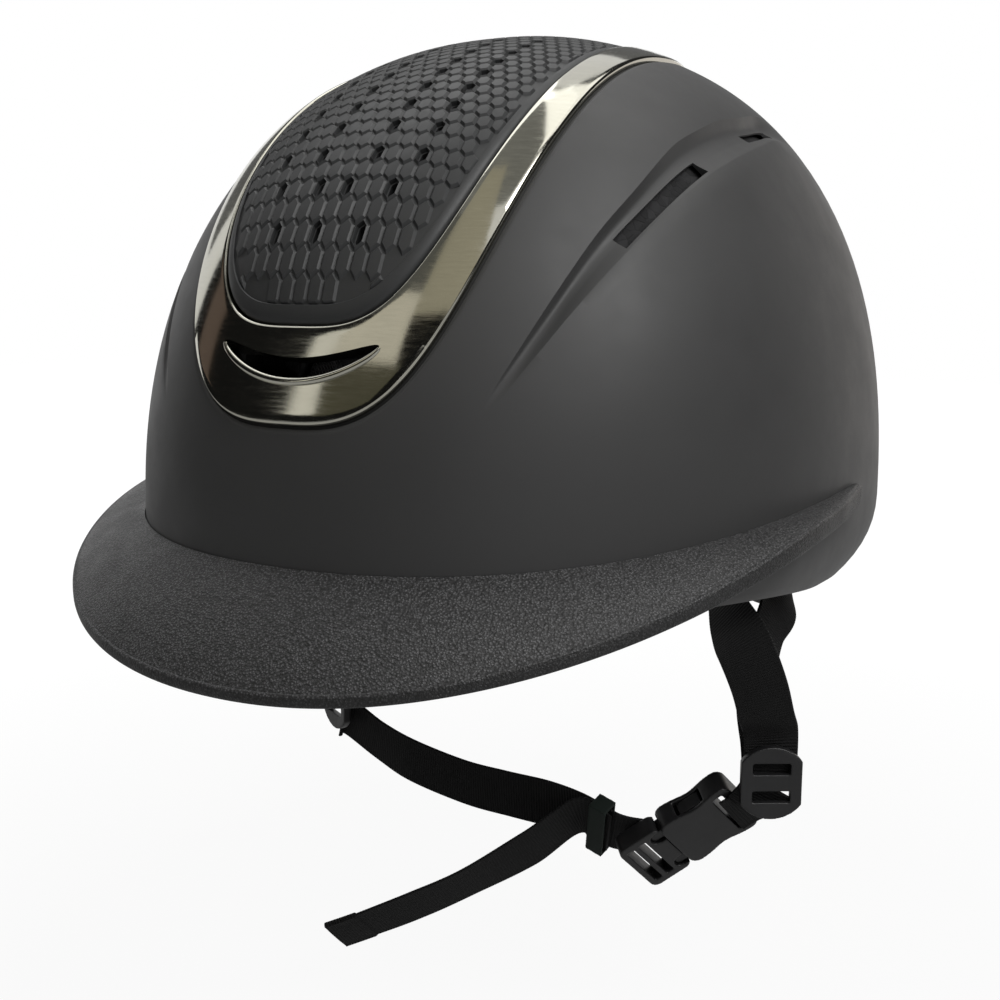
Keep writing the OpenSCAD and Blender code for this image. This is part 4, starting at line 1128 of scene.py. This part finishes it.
ON_SOCKET = BUCKLE_T / 2 + 1.4
MIRROR = np.array([-1, 1, 1])


def from_buckle(x, y, z):
    return (BUCKLE_AT + BUCKLE_X * x + BUCKLE_Y * y + BUCKLE_Z * z).tolist()


def in_keeper(along, out):
    return (KEEPER_AT + KEEPER_T * along + KEEPER_N * out).tolist()


def at_divider(out, up):
    return (DIVIDER_AT + DIVIDER_OUT * out + UP * up).tolist()


FRONT_STRAP = [((82.78, -42, -6), (0.17, 1, 0.3)), ((83.52, -37.5, -20), (0.15, 1, 0.35)),
               ((84.37, -32.5, -31), (0.36, 0.9, 0.22)), ((87.37, -24, -44), (0.8, 0.6, 0.08)),
               ((89.97, -16.5, -58), (0.88, 0.47, 0)), ((90.97, -10.5, -70), (0.87, 0.49, 0)),
               (at_divider(-2.2, 16), DIVIDER_SIDE), (at_divider(-2.3, 1.5), DIVIDER_SIDE)]
REAR_STRAP = [((77.77, 55, -17), (0.32, -0.9, 0.7)), ((81.42, 43, -29), (0.22, -0.9, 0.7)),
              ((84.0, 24, -39), (-0.35, -0.9, 0.35)), ((84.0, 12, -46), (-0.3, -0.8, 0.5)),
              ((84.0, 3, -56), (-0.45, -0.8, 0.4)), ((85.47, 0, -70), (-0.7, -0.7, 0.2)),
              ((88.47, -1, -82), (-0.85, -0.52, 0.05)), (at_divider(-4.4, 4.5), -DIVIDER_SIDE)]
LEFT_CHIN = [(at_divider(-2.2, -2.5), DIVIDER_SIDE * 0.85 - UP * 0.5), ((86.57, -3.5, -103.5), (0.47, 0.53, -0.69)),
             (from_buckle(-SOCKET_L + 0.5, 0, ON_SOCKET), BUCKLE_Y),
             (from_buckle(-SOCKET_L + 6, 0, ON_SOCKET - 0.1), BUCKLE_Y)]
ACROSS = (-0.17, 0.08, -0.98)
CHIN_END = (DIVIDER_SIDE * 0.3 - UP * 0.95) * MIRROR
RIGHT_CHIN = [(from_buckle(PLUG_L - 8.2, -3, -5.4), BUCKLE_Y), (in_keeper(5.5, LAYER), KEEPER_U),
              (in_keeper(-8.6, LAYER), KEEPER_U), ((10, -12.9, -117.4), ACROSS), ((-8, -12.2, -117.5), ACROSS),
              ((-28, -10.5, -117.5), ACROSS), ((-54, -8, -114.5), ACROSS),
              ((-72.77, -3.2, -111.2), (-0.2, 0.15, -0.95)),
              (at_divider(-5.6, -9.6) * MIRROR, CHIN_END), (at_divider(-2.8, -9) * MIRROR, CHIN_END)]
TAIL_RUN = [(in_keeper(4.6, -LAYER), KEEPER_U), (in_keeper(-8.6, -LAYER), KEEPER_U), ((9, -27, -130), (0, 0.5, -0.86)),
            ((-9, -41, -141.5), (-0.15, 0.55, -0.8)), ((-26, -50, -150.8), (-0.2, 0.5, -0.8)),
            ((-42, -57, -158.8), (-0.25, 0.5, -0.8)), ((-53, -62, -163.8), (-0.25, 0.5, -0.8))]


# Half of the webbing's section: shares of its half width and of its half thickness
WEB_FORM = [(-1, 0.0), (-0.985, 0.62), (-0.95, 0.9), (-0.9, 0.8), (-0.6, 0.92), (-0.3, 1.0), (0, 1.0), (0.3, 1.0),
            (0.6, 0.92), (0.9, 0.8), (0.95, 0.9), (0.985, 0.62), (1, 0.0)]
RIB_RISE = 0.09


def curve_through(points):
    """A smooth curve through points, in 40 steps from each to the next"""
    p = np.array(points, dtype=float)
    full = np.concatenate([p[:1], p, p[-1:]])
    t = np.linspace(0, 1, 40, endpoint=False)[:, None]
    parts = [0.5 * (2 * b + (c - a) * t + (2 * a - 5 * b + 4 * c - d) * t ** 2 + (3 * b - 3 * c + d - a) * t ** 3)
             for a, b, c, d in zip(full, full[1:], full[2:], full[3:])]
    return np.concatenate(parts + [p[-1:]])


def strap(name, stations, flip=1, tab=0.0):
    """A ribbed band through its stations: each gives a place and the direction across"""
    p, x = (curve_through([np.asarray(s[k], dtype=float) * flip for s in stations]) for k in (0, 1))
    run = np.concatenate([[0], np.cumsum(np.linalg.norm(np.diff(p, axis=0), axis=1))])
    pitch = bpy.context.scene.helmet_sizes.rib_pitch / MM
    at = np.linspace(0, run[-1], int(run[-1] / (pitch / 4)) + 1)
    p, x = (np.stack([np.interp(at, run, v[:, k]) for k in range(3)], 1) for v in (p, x))
    tan = unit(np.gradient(p, axis=0))
    normal = unit(np.cross(tan, x))
    across = unit(np.cross(normal, tan))
    rib = RIB_RISE * np.cos(2 * math.pi * at / pitch)
    # A folded and sewn end is twice as thick
    grow = 1 + smooth((at - run[-1] + tab) / 0.8) * (tab > 0)
    rings = []
    for a, b in WEB_FORM + [(a, -b) for a, b in WEB_FORM[-2:0:-1]]:
        lift = b * (WEB_T / 2 - 0.1) * grow + np.sign(b) * rib * (1 if abs(a) < 0.93 else 0.3)
        rings.append(p + across * (a * (WEB_W / 2 - 0.15)) + normal * lift[:, None])
    obj = tube_of(name, np.stack(rings, axis=1))

    # Lay u along the strap in metres and v across it
    layer = obj.data.uv_layers.active or obj.data.uv_layers.new(name="UVMap")
    tree = KDTree(len(p))
    for i, place in enumerate(p):
        tree.insert(place, i)
    tree.balance()
    co = coords(obj) / MM
    near = np.array([tree.find(place)[1] for place in co])
    uv = np.stack([at[near] * MM, 0.5 + ((co - p[near]) * across[near]).sum(1) / WEB_W], 1)
    loops = np.empty(len(obj.data.loops), dtype=int)
    obj.data.loops.foreach_get("vertex_index", loops)
    layer.data.foreach_set("uv", uv[loops].astype(np.float32).ravel())
    return obj


def hang(name, stations, body, source, flip=1, tab=0.0):
    obj = strap(name, stations, flip, tab)
    settle(obj, name, body, FINISH["webbing"], [source], angle=50)
    return obj


def build_harness():
    for hand, flip in (("left", np.ones(3)), ("right", MIRROR)):
        for part, stations in (("front", FRONT_STRAP), ("rear", REAR_STRAP)):
            obj = hang(f"{hand}_{part}_webbing", stations, "helmet", f"{hand}_{part}_strap", flip)
            bend(obj, stations[0][0] * flip, stations[-1][0] * flip)
    chin = hang("left_chin_webbing", LEFT_CHIN, "helmet", "left_chin_strap")
    bend(chin, LEFT_CHIN[0][0], LEFT_CHIN[-1][0])
    chin = hang("right_chin_webbing", RIGHT_CHIN, "plug", "right_chin_strap")
    bend(chin, RIGHT_CHIN[2][0], RIGHT_CHIN[-1][0])
    hang("tail_webbing", TAIL_RUN, "plug", "strap_tail", tab=13.0)


def bend(obj, start, end):
    obj.parent = None
    start, end = np.array(start), np.array(end)
    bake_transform(obj)


# Moulded plastics: the frame's own solids with their edges rounded off, by voxel size and smoothing steps
SOFTENED = [("left_divider", "left_ring", "left_divider", 0.32, 6),
            ("right_divider", "right_ring", "right_divider", 0.32, 6),
            ("buckle_socket", "socket_shell", "helmet", 0.34, 7), ("buckle_plug", "plug_shell", "plug", 0.34, 7),
            ("upper_prong", "upper_prong_tip", "upper_prong", 0.3, 5),
            ("lower_prong", "lower_prong_tip", "lower_prong", 0.3, 5),
            ("strap_keeper", "keeper_loop", "keeper", 0.3, 4)]
BUCKLE_AXES = (BUCKLE_X, BUCKLE_Y, BUCKLE_Z)
DIVIDER_AXES = (DIVIDER_OUT, DIVIDER_SIDE, UP)


def in_axes(co, at, axes):
    return (co - at) @ np.transpose(axes)


def from_axes(p, at, axes):
    return at + p @ np.array(axes)


def waisted(co):
    """The socket draws in behind its mouth, and its face swells a little"""
    p = in_axes(co, BUCKLE_AT, BUCKLE_AXES)
    along = np.clip(-p[:, 0] / SOCKET_L, 0, 1)
    waist = np.exp(-((along - 0.5) / 0.2) ** 2)
    p[:, 1] *= 1 - 0.13 * waist
    p[:, 2] *= 1 + 0.05 * np.cos(np.clip(p[:, 1] / BUCKLE_W, -0.5, 0.5) * math.pi) * (1 - waist)
    return from_axes(p, BUCKLE_AT, BUCKLE_AXES)


def thick_ring(flip):
    """Swell a divider's ring towards its rim"""
    def reshape(co):
        p = in_axes(co * flip, DIVIDER_AT, DIVIDER_AXES)
        r = np.linalg.norm(p[:, 1:], axis=1)
        p[:, 0] *= 1.05 + 0.3 * np.clip((r - 6) / 6, 0, 1)
        return from_axes(p, DIVIDER_AT, DIVIDER_AXES) * flip

    return reshape


def build_buckle():
    shapes = {"buckle_socket": waisted, "left_divider": thick_ring(1), "right_divider": thick_ring(MIRROR)}
    for source, name, body, voxel, rounds in SOFTENED:
        obj = bpy.data.objects.new(name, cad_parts[source].data.copy())
        bpy.context.scene.collection.objects.link(obj)
        apply_modifier(obj, "REMESH", mode="VOXEL", voxel_size=voxel * MM)
        apply_modifier(obj, "SMOOTH", factor=0.6, iterations=rounds)
        if source in shapes:
            lay(obj, shapes[source](coords(obj) / MM) * MM)
        slot, kind = ("keeper_elastic", "elastic") if body == "keeper" else ("buckle_black", "buckle")
        settle(obj, name, body, FINISH[kind], [source], angle=0)


# Parts carried over from the frame, and the finish of each
CARRIED = {
    "harness_anchors": "dark_metal",
    "cradle_housing": "cradle", "housing_cover": "cradle", "fit_dial": "cradle", "drive_pinion": "gear",
    "ratchet_spring": "spring", "left_rack": "cradle", "right_rack": "cradle", "left_fit_arm": "cradle",
    "right_fit_arm": "cradle", "temple_pins": "dark_metal",
}


def dress_frame():
    for name, finish in CARRIED.items():
        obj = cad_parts[name]
        if not obj.material_slots:
            obj.data.materials.append(FINISH[finish])
        for held in obj.material_slots:
            held.material = FINISH[finish]


# Stage
CAMERA_AT = (214.0, -411.9, 76.3)
CAMERA_AXES = ((0.8713, 0.4907, -0.0007), (-0.0845, 0.1516, 0.9848), (0.4833, -0.8581, 0.1736))
LENS = 45.835
WORLD_LEVEL = 0.022
# How far the floor lies below the solids, and the distances over which it whitens, in metres
FLOOR_DROP, FLOOR_FADE = 0.024, (0.2, 0.75)
# Lamps: bearing and elevation in degrees, distance and size in metres, watts, colour
LAMPS = [("key_right", 75, 43, 1.3, 0.7, 9.4, (1.0, 0.995, 0.985)),
         ("fill_front", 10, 44, 1.3, 0.7, 3.2, (1.0, 0.995, 0.985)),
         ("top_left", -120, 65, 1.3, 0.7, 3.1, (1.0, 1.0, 1.0)),
         ("top_back", 140, 65, 1.3, 0.7, 2.8, (1.0, 0.99, 0.97)),
         ("low_back", 165, 8, 1.3, 0.7, 1.3, (1.0, 0.95, 0.9))]
# Cards that only shiny surfaces show: bearings, elevations and level, the nearest first
CARD_FAR = 1900.0
CARD_STEP = 15.0
DARK = (0.03, 0.03, 0.03)
CARDS = [("strip", -36, -29, 8, 37, (0.97, 0.95, 0.88)),
         ("lower_white", -29, -4, 26, 44, (0.80, 0.76, 0.66)),
         ("olive", -29, -2, 6, 26, (0.11, 0.105, 0.075)),
         ("brown", -78, -67, 8, 36, (0.16, 0.12, 0.10)),
         ("beige", -4, 30, 38, 80, (0.46, 0.43, 0.34)),
         ("front", -86, 20, -30, 44, (0.012, 0.012, 0.012)),
         ("right_low", 20, 100, 5, 22, DARK),
         ("right_back", 100, 180, -30, 66, DARK),
         ("right_floor", 60, 100, -30, 5, (0.5, 0.5, 0.5)),
         ("rear_left", -180, -100, 20, 40, (0.15, 0.15, 0.15)),
         ("rear_high", -140, -100, 40, 66, DARK),
         ("front_high", -60, -2, 40, 66, (0.14, 0.14, 0.13)),
         ("crown", -180, 180, 66, 90, (0.26, 0.26, 0.25))]


def seen_rays(tree, shiny=1.0):
    """1 for rays that show the background itself: from the camera, through glass and, by a share, off metal"""
    ray = node(tree, "ShaderNodeLightPath").outputs
    both = maths(tree, "MAXIMUM", ray["Is Camera Ray"], ray["Is Transmission Ray"])
    return maths(tree, "MAXIMUM", both, maths(tree, "MULTIPLY", ray["Is Glossy Ray"], shiny))


def mixed(tree, share, first, second):
    """Two shaders mixed: the second by its share"""
    made = node(tree, "ShaderNodeMixShader")
    for socket, value in zip(made.inputs, (share, first, second)):
        tree.links.new(value, socket)
    return made.outputs[0]


def aim_camera():
    scene = bpy.context.scene
    cam = bpy.data.cameras.new("photo_camera")
    cam.lens = LENS
    cam.sensor_width = 36.0
    cam.sensor_fit = "HORIZONTAL"
    cam.clip_start = 0.01
    obj = bpy.data.objects.new("photo_camera", cam)
    scene.collection.objects.link(obj)
    turn = Matrix([Vector(a).normalized() for a in CAMERA_AXES]).transposed()
    obj.matrix_world = Matrix.Translation(Vector(CAMERA_AT) * MM) @ turn.to_4x4()
    scene.camera = obj
    scene.view_settings.view_transform = "Standard"


def lay_floor():
    deselect()
    bpy.ops.mesh.primitive_plane_add(size=6.0, location=(0, 0, CAD_BOX[0][2] - FLOOR_DROP))
    floor = bpy.context.object
    floor.name = "floor"
    mat, tree, bsdf = new_finish("floor_pale", (0.4, 0.4, 0.4), 0.9)
    glow = node(tree, "ShaderNodeEmission", Color=(1, 1, 1, 1), Strength=1.04).outputs[0]
    # The floor turns as white as the world away from the object, so that no horizon shows
    away = node(tree, "ShaderNodeVectorMath", operation="LENGTH", Vector=coordinate(tree)).outputs["Value"]
    white = maths(tree, "MULTIPLY", seen_rays(tree, 0.3), span(tree, away, 0.9, 1.0, *FLOOR_FADE))
    top = mixed(tree, white, bsdf.outputs[0], glow)
    # Seen from below it is clear, so the inside of the helmet can be looked at
    below = node(tree, "ShaderNodeNewGeometry").outputs["Backfacing"]
    seen = mixed(tree, below, top, node(tree, "ShaderNodeBsdfTransparent").outputs[0])
    tree.links.new(seen, tree.nodes["Material Output"].inputs["Surface"])
    floor.data.materials.append(mat)


def light_world():
    scene = bpy.context.scene
    scene.world = scene.world or bpy.data.worlds.new("studio")
    scene.world.use_nodes = True
    tree = scene.world.node_tree
    tree.nodes.clear()
    soft, white = (node(tree, "ShaderNodeBackground", Color=(1, 1, 1, 1), Strength=level).outputs[0]
                   for level in (WORLD_LEVEL, 1.0))
    node(tree, "ShaderNodeOutputWorld", Surface=mixed(tree, seen_rays(tree), soft, white))


def hang_lamp(name, az, el, far, size, power, tone):
    light = bpy.data.lights.new(name, "AREA")
    light.size, light.energy, light.color = size, power, tone
    lamp = bpy.data.objects.new(name, light)
    bpy.context.scene.collection.objects.link(lamp)
    at = Vector(heading(az, el).tolist()) * far
    lamp.location = at
    lamp.visible_glossy = name != "fill_front"
    lamp.rotation_euler = (-at).to_track_quat("-Z", "Y").to_euler()


def make_card(name, az0, az1, el0, el1, level, far):
    """A curved studio card that only shiny surfaces show"""
    card = lay_grid(name, 24, 12, lambda u, v: heading(mix(az0, az1, u), mix(el0, el1, v)) * far)
    mat = bpy.data.materials.new(name)
    mat.use_nodes = True
    tree = mat.node_tree
    tree.nodes.clear()
    glow = node(tree, "ShaderNodeEmission", Color=(*level, 1), Strength=1.0).outputs[0]
    node(tree, "ShaderNodeOutputMaterial", Surface=glow)
    card.data.materials.append(mat)
    card.visible_camera = card.visible_diffuse = card.visible_shadow = card.visible_transmission = False


def build_stage():
    aim_camera()
    lay_floor()
    light_world()
    for lamp in LAMPS:
        hang_lamp(*lamp)
    for i, (name, *place) in enumerate(CARDS):
        make_card(f"card_{name}", *place, CARD_FAR + CARD_STEP * i)


def operator(name, label, words, work):
    """One operator for one piece or group of pieces"""
    def execute(self, context):
        work()
        return {"FINISHED"}

    return type(f"HELMET_OT_{name}", (bpy.types.Operator,), {
        "bl_idname": f"helmet.{name}", "bl_label": label, "bl_options": {"REGISTER", "UNDO"},
        "__doc__": words, "execute": execute})


OPERATORS = [
    operator("finishes", "Finishes", "Make the procedural finishes", make_finishes),
    operator("stage", "Stage", "Set up the floor, the lamps and the camera", build_stage),
    operator("shell", "Shell", "Build the shell with its channels and slots", build_shell),
    operator("brim", "Brim", "Build the grained brim", build_brim),
    operator("bezel", "Bezel", "Build the bright bezel with its intake", build_bezel),
    operator("panel", "Vent panel", "Build the vent panel with its hexagon cells", build_panel),
    operator("foam", "Foam liner", "Build the foam liner and its binding", build_foam),
    operator("pads", "Pads", "Build the sewn pads", build_pads),
    operator("harness", "Harness", "Build the webbing of the harness", build_harness),
    operator("buckle", "Buckle", "Build the buckle, the keeper and the divider rings", build_buckle),
    operator("plastics", "Plastics", "Give the carried-over parts their finish", dress_frame),
]


class HELMET_PT_panel(bpy.types.Panel):
    """Lists the steps that build the helmet"""

    bl_label = "Riding helmet"
    bl_idname = "HELMET_PT_panel"
    bl_space_type = "VIEW_3D"
    bl_region_type = "UI"
    bl_category = "Helmet"

    def draw(self, context):
        for made in OPERATORS:
            self.layout.operator(made.bl_idname)
        for group in (context.scene.helmet_sizes, context.scene.helmet_colours):
            for key in group.__annotations__:
                self.layout.prop(group, key)


def register():
    for made in (HelmetSizes, HelmetColours, *OPERATORS, HELMET_PT_panel):
        bpy.utils.register_class(made)
    bpy.types.Scene.helmet_sizes = PointerProperty(type=HelmetSizes)
    bpy.types.Scene.helmet_colours = PointerProperty(type=HelmetColours)


def unregister():
    del bpy.types.Scene.helmet_sizes
    del bpy.types.Scene.helmet_colours
    for made in reversed((HelmetSizes, HelmetColours, *OPERATORS, HELMET_PT_panel)):
        bpy.utils.unregister_class(made)


def main():
    register()
    for made in OPERATORS:
        group, name = made.bl_idname.split(".")
        getattr(getattr(bpy.ops, group), name)()
    deselect()


if __name__ == "__main__":
    main()
